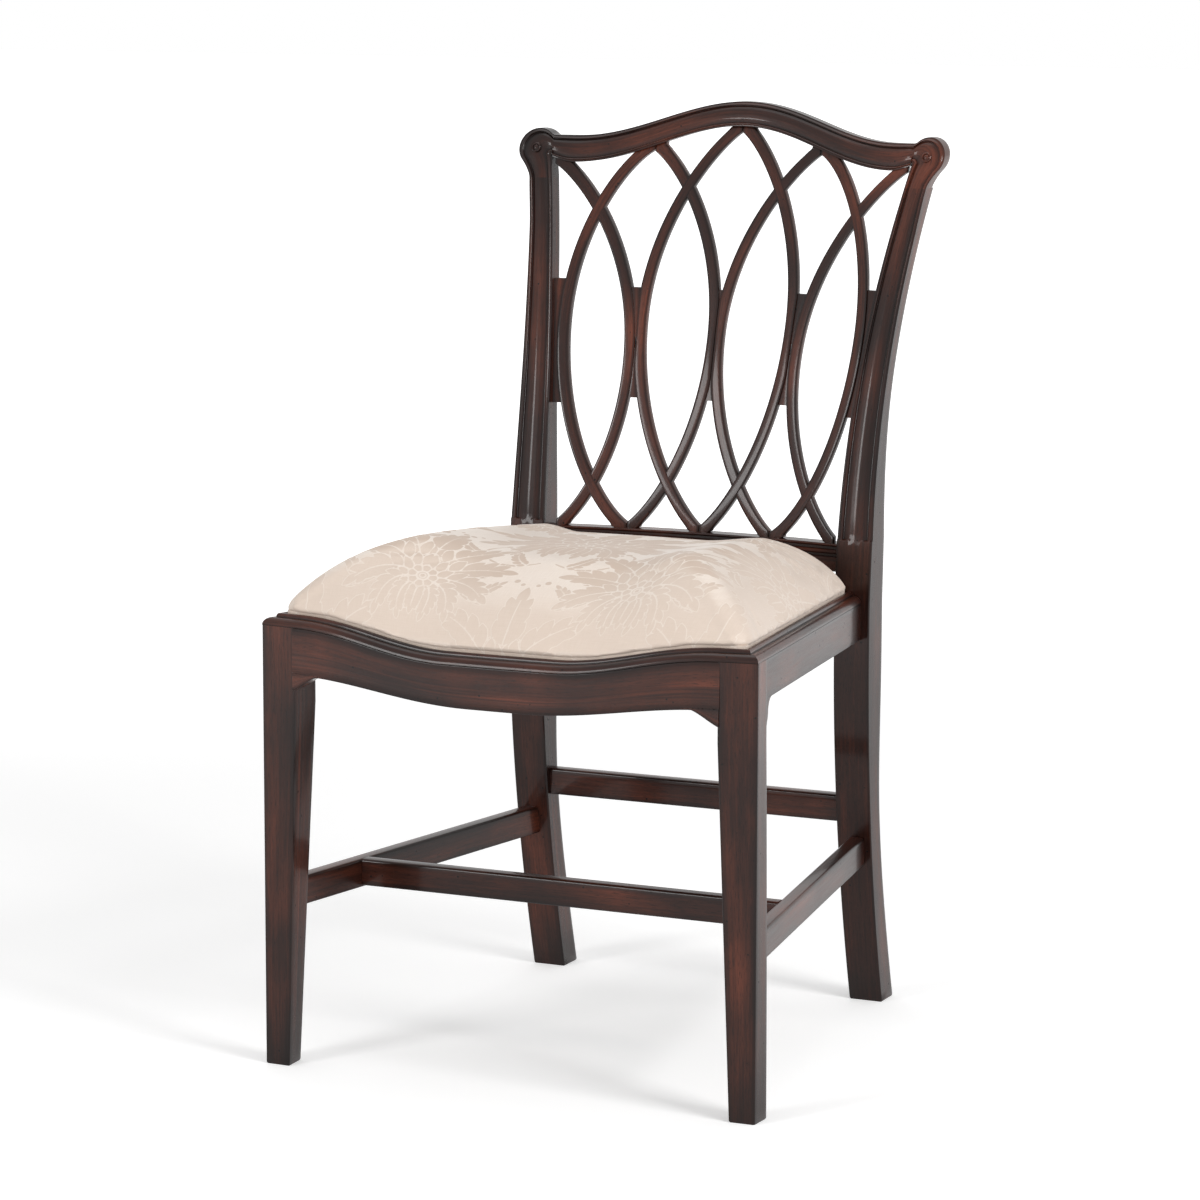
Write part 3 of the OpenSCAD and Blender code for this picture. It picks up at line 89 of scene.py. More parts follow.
class Slot(str, Enum):
    """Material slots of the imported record."""

    MAHOGANY = "mahogany"
    BEECH = "beech"
    DAMASK = "damask"
    WEBBING = "webbing"
    SCREWS = "screws"
    DUST_CLOTH = "dust_cloth"


# Curves and grids


def ease(t: Number) -> Number:
    """Half a cosine wave, from 0 at 0 to 1 at 1, and level beyond them."""
    return (1 - np.cos(np.pi * np.clip(t, 0, 1))) / 2


def lerp(a: Number, b: Number, t: Number) -> Number:
    """Straight blend: a plus the share t of the way to b."""
    return a + (b - a) * t


def grid(*parts: Number) -> np.ndarray:
    """Points whose coordinates are the parts, spread over one common grid."""
    return np.stack(np.broadcast_arrays(*parts), -1)


def bend(a: Number, b: Number, c: Number, t: Number) -> np.ndarray:
    """Curve that leaves a towards b and arrives at c: (1-t)^2 a + 2t(1-t) b + t^2 c."""
    return (1 - t) ** 2 * a + 2 * t * (1 - t) * b + t**2 * c


def tube_faces(rows: int, count: int) -> np.ndarray:
    """Faces of a tube: each point, the next round the ring, and the same two a ring on."""
    here = np.arange(rows - 1)[:, None] * count
    round_on = np.arange(count)
    a, b = here + round_on, here + (round_on + 1) % count
    return grid(a, b, b + count, a + count).reshape(-1, 4)


@dataclass(frozen=True)
class Form:
    """Lines and sizes that several pieces follow, in millimetres, as in the CAD source."""

    seat_w: float = 554
    seat_d: float = 456
    splay: float = math.radians(8.8)
    seat_h: float = 465
    seat_fall: float = 10
    seat_gap: float = 1
    seat_frame_w: float = 58
    rail_h: float = 48.5
    side_rail_h: float = 40
    front_bow: float = 19
    front_dip: float = 23
    low_dip: float = 18
    dip_flat_w: float = 120
    low_flat_share: float = 0.53
    dip_reach_share: float = 0.74
    cap_w: float = 16
    cap_h: float = 12
    leg_w: float = 41
    leg_d: float = 37
    leg_foot_w: float = 28
    leg_foot_d: float = 27.5
    leg_straight_h: float = 81
    foot_turn: float = math.radians(1.5)
    foot_side_turn: float = math.radians(-3)
    post_in: float = 175
    post_w: float = 41
    post_top_w: float = 26.5
    post_foot_w: float = 38.5
    post_d: float = 42
    post_ankle_d: float = 31
    post_foot_d: float = 36
    post_top_d: float = 24
    slim_up: float = 255
    block_up: float = 57
    tenon_shoulder: float = 6
    foot_kick: float = 60
    foot_power: float = 1.9
    back_rake: float = 112
    rake_power: float = 1.62
    back_flare: float = 43
    flare_power: float = 2.33
    back_bow: float = 24
    bow_on_share: float = 0.55
    low_rail_top: float = 516
    boss_x: float = 234
    boss_z: float = 930
    ear_r: float = 21
    crest_h: float = 984
    crest_drop: float = 40
    crest_low_x: float = 190
    crest_w: float = 27
    crest_gain: float = 2.4
    crest_end_gain: float = 9.6
    crest_d: float = 27
    crest_round_h: float = 5
    face_depth: float = 3
    back_chamfer: float = 3
    dark_foot_h: float = 70
    dark_foot_tone: float = 0.35

    @property
    def pitch(self) -> float:
        """Fall of the seat to the back, as an angle."""
        return math.atan(self.seat_fall / self.seat_d)

    @property
    def front_half(self) -> float:
        """Half the width between the front legs."""
        return self.seat_w / 2 - self.leg_w * math.cos(self.splay)

    @property
    def front_r(self) -> float:
        """Radius of the bowed front: (half chord squared + rise squared) / twice the rise."""
        rise = self.front_bow - self.leg_w * math.sin(self.splay)
        return (self.front_half**2 + rise**2) / (2 * rise)

    @property
    def arc_y(self) -> float:
        """Centre of the bowed front."""
        return self.front_r - self.front_bow

    @property
    def block_low_z(self) -> float:
        """Height at which the posts' square block begins."""
        return self.seat_h - self.seat_fall - self.side_rail_h - 2 * self.tenon_shoulder

    @property
    def block_top_z(self) -> float:
        """Height at which the posts begin to lean back."""
        return self.seat_h - self.seat_fall

    @property
    def moulding_stop_z(self) -> float:
        """Height at which the posts' moulding starts."""
        return self.seat_h + self.block_up

    @property
    def joint_z(self) -> float:
        """Height at which the posts meet the crest rail."""
        return self.boss_z - self.ear_r - self.cap_h

    @property
    def bow_x(self) -> float:
        """Distance from the middle at which the back's bow crosses the posts' plane."""
        return self.boss_x - self.post_top_w

    @property
    def leg_taper_z(self) -> float:
        """Height at which the front legs' taper ends."""
        return self.seat_h - self.leg_straight_h

    @property
    def front_reach(self) -> float:
        """How far the bowed front rail stands before the front corners."""
        return self.front_bow * math.cos(self.pitch) + (self.rail_h + self.low_dip) * math.sin(self.pitch)

    @property
    def corner_y(self) -> float:
        """The front corners, placed so that the whole depth is centred on the origin."""
        lean = float(self.rake_y(self.crest_h - self.crest_round_h))
        depth = self.front_reach + self.seat_d + lean + self.back_bow + self.crest_d
        return self.front_reach - depth / 2

    @property
    def post_y(self) -> float:
        """Front of the posts at the seat."""
        return self.corner_y + self.seat_d

    @property
    def seat_edge(self) -> float:
        """Inset of the lift-out seat from the rails' faces."""
        return self.cap_w + self.seat_gap

    @property
    def seat_back_y(self) -> float:
        """Back edge of the lift-out seat in the seat's plane."""
        return self.seat_d - 2 * self.seat_gap

    def back_share(self, z: Number) -> np.ndarray:
        """Share of the height from the seat to the bosses, not under 0."""
        return np.clip((np.asarray(z, float) - self.block_top_z) / (self.boss_z - self.block_top_z), 0, None)

    def rake_y(self, z: Number) -> np.ndarray:
        """How far the posts lie behind their front plane: a power of the height over or under the seat.

        Args:
            z: Height.

        Returns:
            The distance.
        """
        z = np.asarray(z, float)
        low = self.foot_kick * np.clip(1 - z / self.block_low_z, 0, 1) ** self.foot_power
        return np.where(z < self.block_top_z, low, self.back_rake * self.back_share(z) ** self.rake_power)

    def post_x(self, z: Number) -> np.ndarray:
        """Inner edge of a post, which flares by a power of the height over the seat."""
        return self.post_in + self.back_flare * self.back_share(z) ** self.flare_power

    def post_width(self, z: Number) -> np.ndarray:
        """Width of a post: eased from the foot to the block, then straight to the crest.

        Args:
            z: Height.

        Returns:
            The width.
        """
        z = np.asarray(z, float)
        low = lerp(self.post_foot_w, self.post_w, ease(z / self.block_low_z))
        up = np.clip((z - self.moulding_stop_z) / (self.joint_z - self.moulding_stop_z), 0, 1)
        return np.where(z < self.block_low_z, low, lerp(self.post_w, self.post_top_w, up))

    def post_depth(self, z: Number) -> np.ndarray:
        """Depth of a post: eased from foot to ankle, from ankle to block and from seat to back.

        Args:
            z: Height.

        Returns:
            The depth.
        """
        z = np.asarray(z, float)
        ankle = self.block_low_z / 2
        foot = lerp(self.post_foot_d, self.post_ankle_d, ease(z / ankle))
        calf = lerp(self.post_ankle_d, self.post_d, ease((z - ankle) / ankle))
        slim = (z - self.block_top_z) / (self.slim_up + self.seat_fall)
        top = lerp(self.post_d, self.post_top_d, ease(slim))
        return np.where(z < ankle, foot, np.where(z < self.block_low_z, calf, top))

    def foot_tone(self, z: Number) -> np.ndarray:
        """Tone of a leg: darker towards the foot, eased by height up to the full tone."""
        return lerp(self.dark_foot_tone, 1.0, ease(np.asarray(z, float) / self.dark_foot_h))

    def bow(self, x: Number) -> np.ndarray:
        """How far the back lies behind the posts' plane: one minus the square of the share of its width."""
        b = self.back_bow * (1 - (np.asarray(x, float) / self.bow_x) ** 2)
        return np.where(b < 0, self.bow_on_share * b, b)

    def back_y(self, x: Number, z: Number) -> np.ndarray:
        """Face of the back, raked by height and bowed by width."""
        return self.post_y + self.rake_y(z) + self.bow(x)

    def crest_top(self, x: Number) -> np.ndarray:
        """Height of the crest rail's top edge: an eased drop from the middle."""
        return self.crest_h - self.crest_drop * ease(np.asarray(x, float) / self.crest_low_x)

    def crest_low(self, x: Number) -> np.ndarray:
        """Height of the crest rail's lower edge: the top edge less the width, rising again at the ears.

        Args:
            x: Distance from the middle.

        Returns:
            The height.
        """
        x = np.asarray(x, float)
        gain = self.crest_gain * ease(x / self.crest_low_x)
        turn = self.crest_end_gain * ease((x - self.crest_low_x) / (self.boss_x - self.crest_low_x))
        return self.crest_top(x) - self.crest_w - gain + turn

    def dip(self, x: Number) -> np.ndarray:
        """Dip of the seat rail's top: full over the middle flat, eased out at the legs."""
        flat = self.dip_flat_w / 2
        return self.front_dip * (1 - ease((np.abs(x) - flat) / (self.front_half - flat)))

    def rail_low_dip(self, x: Number) -> np.ndarray:
        """Dip of the front rail's lower edge: full over a shorter flat, eased out at the legs."""
        flat = self.dip_flat_w * self.low_flat_share / 2
        return self.low_dip * (1 - ease((np.abs(x) - flat) / (self.front_half - flat)))

    def seat_dip(self, x: Number, y: Number) -> np.ndarray:
        """The dip in the plane of the seat, eased out towards the back."""
        behind = (np.asarray(y) - self.seat_frame_w) / (self.seat_d * self.dip_reach_share)
        return self.dip(x) * (1 - ease(behind))

    def side_x(self, inset: Number, y: Number) -> np.ndarray:
        """A line inset from the side rail's face, which runs in with the splay."""
        return self.seat_w / 2 - (inset + np.asarray(y) * math.sin(self.splay)) / math.cos(self.splay)

    def front_y(self, inset: Number, x: Number) -> np.ndarray:
        """A line inset from the front rail's face: an arc about its centre."""
        return self.arc_y - np.sqrt((self.front_r - inset) ** 2 - np.asarray(x, float) ** 2)

    def on_seat(self, points: np.ndarray) -> np.ndarray:
        """Turns points by the pitch, from the plane of the seat to the chair's frame.

        Args:
            points: Points in the plane of the seat, in millimetres.

        Returns:
            The same points in the chair's frame.
        """
        c, s = math.cos(self.pitch), math.sin(self.pitch)
        x, y, z = points[..., 0], points[..., 1], points[..., 2]
        return grid(x, self.corner_y + y * c + z * s, self.seat_h - y * s + z * c)

    def from_seat(self, points: np.ndarray) -> np.ndarray:
        """Turns points in metres back by the pitch, to millimetres in the plane of the seat.

        Args:
            points: Points in the chair's frame, in metres.

        Returns:
            The same points in the plane of the seat.
        """
        c, s = math.cos(self.pitch), math.sin(self.pitch)
        x, y, z = (points / MM).T
        y, z = y - self.corner_y, z - self.seat_h
        return grid(x, y * c - z * s, y * s + z * c)

    def from_corner(self, x: Number, y: Number, z: Number) -> np.ndarray:
        """Turns points by the splay, from the right front corner to the plane of the seat."""
        c, s = math.cos(self.splay), math.sin(self.splay)
        return grid(self.seat_w / 2 + x * c - y * s, x * s + y * c, z)

    def leg_point(self, z: Number, x: Number, y: Number) -> np.ndarray:
        """Points of the right leg, whose front and side faces turn apart towards the foot.

        Args:
            z: Height.
            x: Distance across, from the outer face.
            y: Distance back, from the front face.

        Returns:
            The points.
        """
        share = np.clip(np.asarray(z, float) / self.leg_taper_z, 0, 1)
        front = lerp(self.foot_turn, self.splay, share)
        side = lerp(self.foot_side_turn, self.splay, share)
        across = self.seat_w / 2 + x * np.cos(front) - y * np.sin(side)
        return grid(across, self.corner_y + x * np.sin(front) + y * np.cos(side), z)


FORM = Form()


# Surfaces


@dataclass(frozen=True)
class Section:
    """A closed outline, or one for each place along a piece, with a tone at each point.

    Attributes:
        points: Outline points, the last two axes being the points and their two coordinates.
        tone: Painted shade: 0 in recesses and at arrises, and 1 on open faces.
    """

    points: np.ndarray
    tone: np.ndarray


def eased(corners: np.ndarray, radius: Number = 1.2, band: float = 6.0, steps: int = 3) -> Section:
    """Rounds a polygon's corners with quadratic curves and paints shade on each and in a band beside it.

    Each corner gives a point one band before it, the curve from one radius before it to
    one radius after it, a point one band after it, and the middle of the edge that follows.

    Args:
        corners: Corners, the last two axes being the corners and their two coordinates.
        radius: Rounding, of all corners or of each.
        band: Width of the band, at most 0.4 of the edge.
        steps: Steps in each rounding.

    Returns:
        The eased section.
    """
    # Painted shade: the tone is low at each arris, and lower than on open faces in the band beside it.
    edge_tone, band_tone = 0.08, 0.62
    before, after = np.roll(corners, 1, -2) - corners, np.roll(corners, -1, -2) - corners
    before_l = np.linalg.norm(before, axis=-1, keepdims=True)
    after_l = np.linalg.norm(after, axis=-1, keepdims=True)
    before, after = before / before_l, after / after_l
    r = np.broadcast_to(np.asarray(radius, float), corners.shape[-2:-1])[:, None]
    parts = [corners + before * np.minimum(band, before_l * 0.4)]
    start, end = corners + before * r, corners + after * r
    parts += [bend(start, corners, end, t) for t in np.linspace(0, 1, steps + 1)]
    parts += [corners + after * np.minimum(band, after_l * 0.4), corners + after * after_l / 2]
    points = np.stack(parts, -2).reshape(*corners.shape[:-2], -1, 2)
    tone = np.array([band_tone] + [edge_tone] * (steps + 1) + [band_tone, 1.0])
    return Section(points, np.tile(tone, corners.shape[-2]))


def box(x0: Number, x1: Number, z0: Number, z1: Number) -> np.ndarray:
    """Corners of a rectangle, or of one for each place along a piece."""
    return grid(grid(x0, x1, x1, x0), grid(z0, z0, z1, z1))


def mirrored(rings: np.ndarray) -> np.ndarray:
    """The left-hand copy of a right-hand piece."""
    return rings * np.array([-1, 1, 1])


@dataclass(frozen=True)
class Surface:
    """A mesh swept through rings of points, all with the same number of points.

    Attributes:
        name: Name of the piece.
        rings: Array of rings, points and coordinates, in millimetres.
        tone: Tone of each point, for one ring or for all.
        seed: Shifts the grain, so that no two pieces show the same figure.
        caps: Whether the ends are closed.
    """

    name: str
    rings: np.ndarray
    tone: np.ndarray
    seed: int = 0
    caps: bool = True

    def grain(self) -> np.ndarray:
        """Distances round the mean ring and along the rings' middles, in metres, and a seed."""
        along = np.linalg.norm(np.diff(self.rings.mean(1), axis=0), axis=1)
        across = np.linalg.norm(np.diff(self.rings, axis=1), axis=2).mean(0)
        along, across = (np.concatenate([[0], np.cumsum(steps)]) * MM for steps in (along, across))
        return grid(across[None, :], along[:, None], self.seed * 0.37)

    def mesh(self, angle: float = 30.0) -> bpy.types.Mesh:
        """Makes the mesh with its grain and tone.

        Args:
            angle: Edges sharper than this stay sharp, in degrees.

        Returns:
            The new mesh.
        """
        rows, count = self.rings.shape[:2]
        faces = tube_faces(rows, count).tolist()
        if self.caps:
            faces += [list(range(count))[::-1], list(range((rows - 1) * count, rows * count))]
        mesh = bpy.data.meshes.new(self.name)
        mesh.from_pydata((self.rings.reshape(-1, 3) * MM).tolist(), [], faces)
        store(mesh, "grain", self.grain())
        store(mesh, "tone", np.broadcast_to(self.tone, (rows, count)))
        work = bmesh.new()
        work.from_mesh(mesh)
        bmesh.ops.recalc_face_normals(work, faces=work.faces)
        if self.caps:
            bmesh.ops.triangulate(work, faces=[f for f in work.faces if len(f.verts) > 4])
        work.to_mesh(mesh)
        work.free()
        mesh.shade_smooth()
        mesh.set_sharp_from_angle(angle=math.radians(angle))
        return mesh


def coordinates(mesh: bpy.types.Mesh) -> np.ndarray:
    """Vertex coordinates of a mesh."""
    out = np.zeros(len(mesh.vertices) * 3, np.float32)
    mesh.vertices.foreach_get("co", out)
    return out.reshape(-1, 3).astype(float)


def store(mesh: bpy.types.Mesh, name: str, values: np.ndarray) -> None:
    """Stores a number or a vector on each vertex.

    Args:
        mesh: The mesh.
        name: Name of the attribute.
        values: One number or three for each vertex, in the vertices' order.
    """
    vector = values.size == 3 * len(mesh.vertices)
    layer = mesh.attributes.new(name, "FLOAT_VECTOR" if vector else "FLOAT", "POINT")
    layer.data.foreach_set("vector" if vector else "value", np.asarray(values, np.float32).ravel())


def apply_modifiers(piece: bpy.types.Object) -> None:
    """Applies a piece's modifiers to its mesh.

    Args:
        piece: The piece.
    """
    graph = bpy.context.evaluated_depsgraph_get()
    graph.update()
    done = bpy.data.meshes.new_from_object(piece.evaluated_get(graph))
    old = piece.data
    piece.modifiers.clear()
    piece.data = done
    done.name = old.name + "_cloth"
    bpy.data.meshes.remove(old)


@dataclass
class Workshop:
    """Makes pieces from surfaces and fits them to the CAD bodies, each with a seed for its figure."""

    materials: dict[Slot, bpy.types.Material]
    seeds: int = 0
    made: list[str] = field(default_factory=list)

    def add(self, name: str, rings: np.ndarray, tone: np.ndarray, nodes: Names = ()) -> bpy.types.Object:
        """Adds one swept piece of polished wood."""
        self.seeds += 1
        return self.add_mesh(name, Surface(name, rings, tone, self.seeds).mesh(), nodes)

    def add_mesh(
        self,
        name: str,
        mesh: bpy.types.Mesh,
        nodes: Names = (),
        body: Body = Body.FRAME,
        slot: Slot = Slot.MAHOGANY,
    ) -> bpy.types.Object:
        """Adds one piece from a finished mesh and reports it.

        Args:
            name: Name of the piece.
            mesh: Its mesh.
            nodes: CAD nodes that it stands for.
            body: Body that it rides on.
            slot: Material slot.

        Returns:
            The new object.
        """
        piece = bpy.data.objects.new(name, mesh)
        bpy.context.scene.collection.objects.link(piece)
        mesh.materials.clear()
        mesh.materials.append(self.materials[slot])
        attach(piece, body.value)
        if nodes:
            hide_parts(*nodes)
        self.made.append(name)
        log.info("%s: %d points", name, len(mesh.vertices))
        return piece

    def pair(self, name: str, rings: np.ndarray, tone: np.ndarray, has_node: bool = True) -> None:
        """Adds a piece on the right and its mirror image on the left."""
        for side, these in (("right", rings), ("left", mirrored(rings))):
            self.add(f"{name}_{side}_wood", these, tone, (f"{name}_{side}",) if has_node else ())


# Frame


@dataclass(frozen=True)
class MouldedFace:
    """The moulded face of the posts and the crest: a broad round between two beads.

    The shares are places across the face, with the moulding's depth at each as a share.
    """

    shares: tuple[float, ...] = (0, 0.06, 0.085, 0.11, 0.135, 0.16, 0.2, 0.31, 0.5)
    depths: tuple[float, ...] = (0.8, 0.7, 0.35, 0.2, 0.35, 1.05, 0.85, 0.3, 0)
    soften: int = 6
    edge_share: float = 0.05

    @property
    def at(self) -> np.ndarray:
        """Shares across at which points lie, closest over the beads."""
        spans = (0, 0.22, 15), (0.24, 0.76, 14), (0.78, 1, 15)
        return np.concatenate([np.linspace(*span) for span in spans])

    @property
    def depth(self) -> np.ndarray:
        """Depth at each point: the mirrored profile, softened by a bell curve three cells wide each way."""
        half = np.array(self.shares), np.array(self.depths)
        places, depths = np.append(half[0], 1 - half[0][-2::-1]), np.append(half[1], half[1][-2::-1])
        fine = np.linspace(0, 1, 801)
        rough = np.pad(np.interp(fine, places, depths), self.soften, mode="edge")
        bell = np.exp(-(np.linspace(-3, 3, 2 * self.soften + 1) ** 2) / 2)
        return np.interp(self.at, fine, np.convolve(rough, bell / bell.sum(), "valid"))

    @property
    def tone(self) -> np.ndarray:
        """Tone at each point: painted shade in the quirks by a power of their depth, and at the edges."""
        open_share = (1 - np.clip(self.depth, 0, 1)) ** 0.8
        edge = np.clip(np.minimum(self.at, 1 - self.at) / self.edge_share, 0, 1)
        return lerp(0.04, 1.0, open_share) * lerp(0.25, 1.0, edge)


FACE = MouldedFace()


@dataclass(frozen=True)
class FrontLegs:
    """Square legs that taper and turn towards their feet."""

    foot_ease: float = 0.8
    inner_ease: float = 1.5
    arris: float = 1.2

    def build(self, shop: Workshop) -> None:
        """Adds both legs: a square whose sides shrink evenly with height, turned as it goes down.

        Args:
            shop: Where the pieces are made.
        """
        f = FORM
        straight = np.linspace(f.leg_taper_z, f.seat_h, 9)[1:]
        z = np.concatenate([[0, 1.5], np.linspace(12, f.leg_taper_z, 26), straight])
        share = np.minimum(1, z / f.leg_taper_z)
        w, d = lerp(f.leg_foot_w, f.leg_w, share), lerp(f.leg_foot_d, f.leg_d, share)
        shrink = np.where(z == 0, self.foot_ease, 0)
        radii = np.array([self.arris, self.inner_ease, self.arris, self.arris])
        section = eased(box(shrink - w, -shrink, shrink, d - shrink), radii)
        rings = f.leg_point(z[:, None], section.points[..., 0], section.points[..., 1])
        up = np.clip((z - f.leg_taper_z) / (f.seat_h - f.leg_taper_z), 0, 1)[:, None]
        top = f.seat_h - (rings[..., 1] - f.corner_y) * math.tan(f.pitch)
        rings[..., 2] = np.where(up > 0, lerp(f.leg_taper_z, top, up), rings[..., 2])
        shop.pair("front_leg", rings, section.tone * f.foot_tone(z)[:, None])


@dataclass(frozen=True)
class SeatRails:
    """The dished front rail, the side rails and the back rail."""

    rail_t: float = 26
    back_rail_t: float = 26
    overrun: float = 2
    front_arris: float = 1.1
    side_arris: float = 0.9
    back_arris: float = 1.0
    front_band: float = 8

    def build(self, shop: Workshop) -> None:
        """Adds the rails: sections carried along the bow, the splayed sides and the back.

        Args:
            shop: Where the pieces are made.
        """
        f = FORM
        x = np.linspace(-f.front_half - self.overrun, f.front_half + self.overrun, 90)
        between = np.clip(x, -f.front_half, f.front_half)
        low, top = -f.rail_h - f.rail_low_dip(between), -f.dip(between)
        corners = box(f.front_y(0, x), f.front_y(self.rail_t, x), low, top)
        section = eased(corners, self.front_arris, self.front_band)
        rings = f.on_seat(grid(x[:, None], section.points[..., 0], section.points[..., 1]))
        shop.add("front_seat_rail_wood", rings, section.tone, ("front_seat_rail",))
        section = eased(box(-self.rail_t, 0.0, -f.side_rail_h, 0.0), self.side_arris)
        y = np.linspace(f.leg_d - self.overrun, f.seat_d / math.cos(f.splay) + self.overrun, 30)
        rings = f.on_seat(f.from_corner(section.points[:, 0], y[:, None], section.points[:, 1]))
        shop.pair("side_seat_rail", rings, section.tone)
        section = eased(box(f.seat_d, f.seat_d + self.back_rail_t, -f.side_rail_h, 0.0), self.back_arris)
        x = np.linspace(-f.post_in - self.overrun, f.post_in + self.overrun, 24)
        rings = f.on_seat(grid(x[:, None], section.points[:, 0], section.points[:, 1]))
        shop.add("back_seat_rail_wood", rings, section.tone, ("back_seat_rail",))


@dataclass(frozen=True)
class SeatMoulding:
    """The moulding that caps the rails: a quarter round, a quirk and an inner bead."""

    round_h: float = 8
    flat_w: float = 2.5
    bead_w: float = 2.2
    quirk: float = 0.6
    toe: float = 0.5
    lift: float = 0.3
    arris: float = 0.7
    heel: float = 0.4

    def section(self) -> Section:
        """Distance in from the face, and height: two quarter circles joined by a quirk."""
        f = FORM
        turn, bead_turn = np.linspace(0, np.pi / 2, 10), np.linspace(0, np.pi / 2, 7)
        flat_end = self.round_h + self.flat_w
        rise = f.cap_h - self.round_h
        quarter = grid(self.round_h * (1 - np.cos(turn)), np.maximum(self.round_h * np.sin(turn), self.lift))
        bead = grid(flat_end + self.bead_w * (1 - np.cos(bead_turn)), self.round_h + rise * np.sin(bead_turn))
        inner = [[f.cap_w - self.arris, f.cap_h], [f.cap_w, f.cap_h - self.arris], [f.cap_w, self.heel]]
        ends = [[flat_end - self.quirk, self.round_h]], inner + [[f.cap_w - self.heel, 0]]
        points = np.concatenate([[[self.toe, 0.0]], quarter, ends[0], bead, ends[1]])
        # Painted shade: the tone is low at the toe, in the quirk before the bead and along the inner edge.
        quarter_tone = np.interp(turn, [0, 0.35, 1.1, 1.57], [0.1, 0.8, 1.0, 0.55])
        bead_tone = np.interp(bead_turn, [0, 0.5, 1.57], [0.0, 0.5, 0.95])
        return Section(points, np.concatenate([[0.0], quarter_tone, [0.0], bead_tone, [0.5, 0.2, 0.1, 0.1]]))

    def build(self, shop: Workshop) -> None:
        """Adds the front length, turned about the bow's centre, and the sides, mitred at the legs.

        Args:
            shop: Where the pieces are made.
        """
        f = FORM
        section = self.section()
        inset, height = section.points[:, 0], section.points[:, 1]
        mitre = f.from_corner(-inset, inset, height)
        x = np.linspace(-f.front_half, f.front_half, 110)[:, None]
        turn = np.arcsin(x / f.front_r)
        r = f.front_r - inset
        rings = grid(r * np.sin(turn), f.arc_y - r * np.cos(turn), height - f.dip(x))
        rings = np.concatenate([mirrored(mitre)[None], rings, mitre[None]])
        shop.add("seat_moulding_front_wood", f.on_seat(rings), section.tone, ("seat_moulding_front",))
        end = f.from_corner(-inset, (f.seat_d + inset * math.sin(f.splay)) / math.cos(f.splay), height)
        rings = lerp(mitre, end, np.linspace(0, 1, 24)[:, None, None])
        shop.pair("seat_moulding", f.on_seat(rings), section.tone)


@dataclass(frozen=True)
class KneeBrackets:
    """The small shaped brackets where the rails meet the front legs."""

    front_l: float = 37
    front_h: float = 17
    side_l: float = 22
    side_h: float = 33
    thick: float = 20
    lip_share: float = 0.3
    shoulder_share: float = 0.45
    cove_share: float = 0.7
    thin: float = 0.05

    def build(self, shop: Workshop) -> None:
        """Adds four brackets."""
        self._front(shop)
        self._side(shop)

    def _front(self, shop: Workshop) -> None:
        """Adds the front pair: the drop at the leg fades out by a cove blended with an ogee.

        Args:
            shop: Where the pieces are made.
        """
        f = FORM
        t = np.linspace(1, 0, 12)
        down = -self.front_h * lerp(1 - ease(t), 1 - np.sin(t * np.pi / 2), self.cove_share)
        x = f.front_half - self.front_l * t
        face, low = f.front_y(0, x), -f.rail_h - f.rail_low_dip(x)
        foot = np.minimum(low - self.thin, -f.rail_h + 1 + down)
        section = eased(box(face, face + self.thick, foot, low + 3), 1.0, 4)
        rings = f.on_seat(grid(x[:, None], section.points[..., 0], section.points[..., 1]))
        shop.pair("knee_bracket_front", np.append(rings, rings[-1:] + [1.5, 0, 0], 0), section.tone)

    def _side(self, shop: Workshop) -> None:
        """Adds the side pair: a quarter ellipse from the rail, then an eased lip down the leg.

        Args:
            shop: Where the pieces are made.
        """
        f = FORM
        lip, half = self.side_l * self.lip_share, self.side_h * self.shoulder_share
        a, b = np.linspace(0, np.pi / 2, 10), np.linspace(0, 1, 8)[1:]
        along = np.concatenate([lerp(self.side_l, lip, np.sin(a)), lip * (1 - ease(b))])
        down = np.concatenate([-half * (1 - np.cos(a)), lerp(-half, -self.side_h, b)])
        low = -f.side_rail_h
        section = eased(box(-self.thick, 0.0, low + down - self.thin, low + 2), 0.8, 3)
        y = (f.leg_d + along)[:, None]
        rings = f.on_seat(f.from_corner(section.points[..., 0], y, section.points[..., 1]))
        last = rings[-1:] - (rings[:1] - rings[-1:]) * 0.06
        last[..., 2] = rings[-1:, :, 2]
        shop.pair("knee_bracket_side", np.append(rings, last, 0), section.tone)


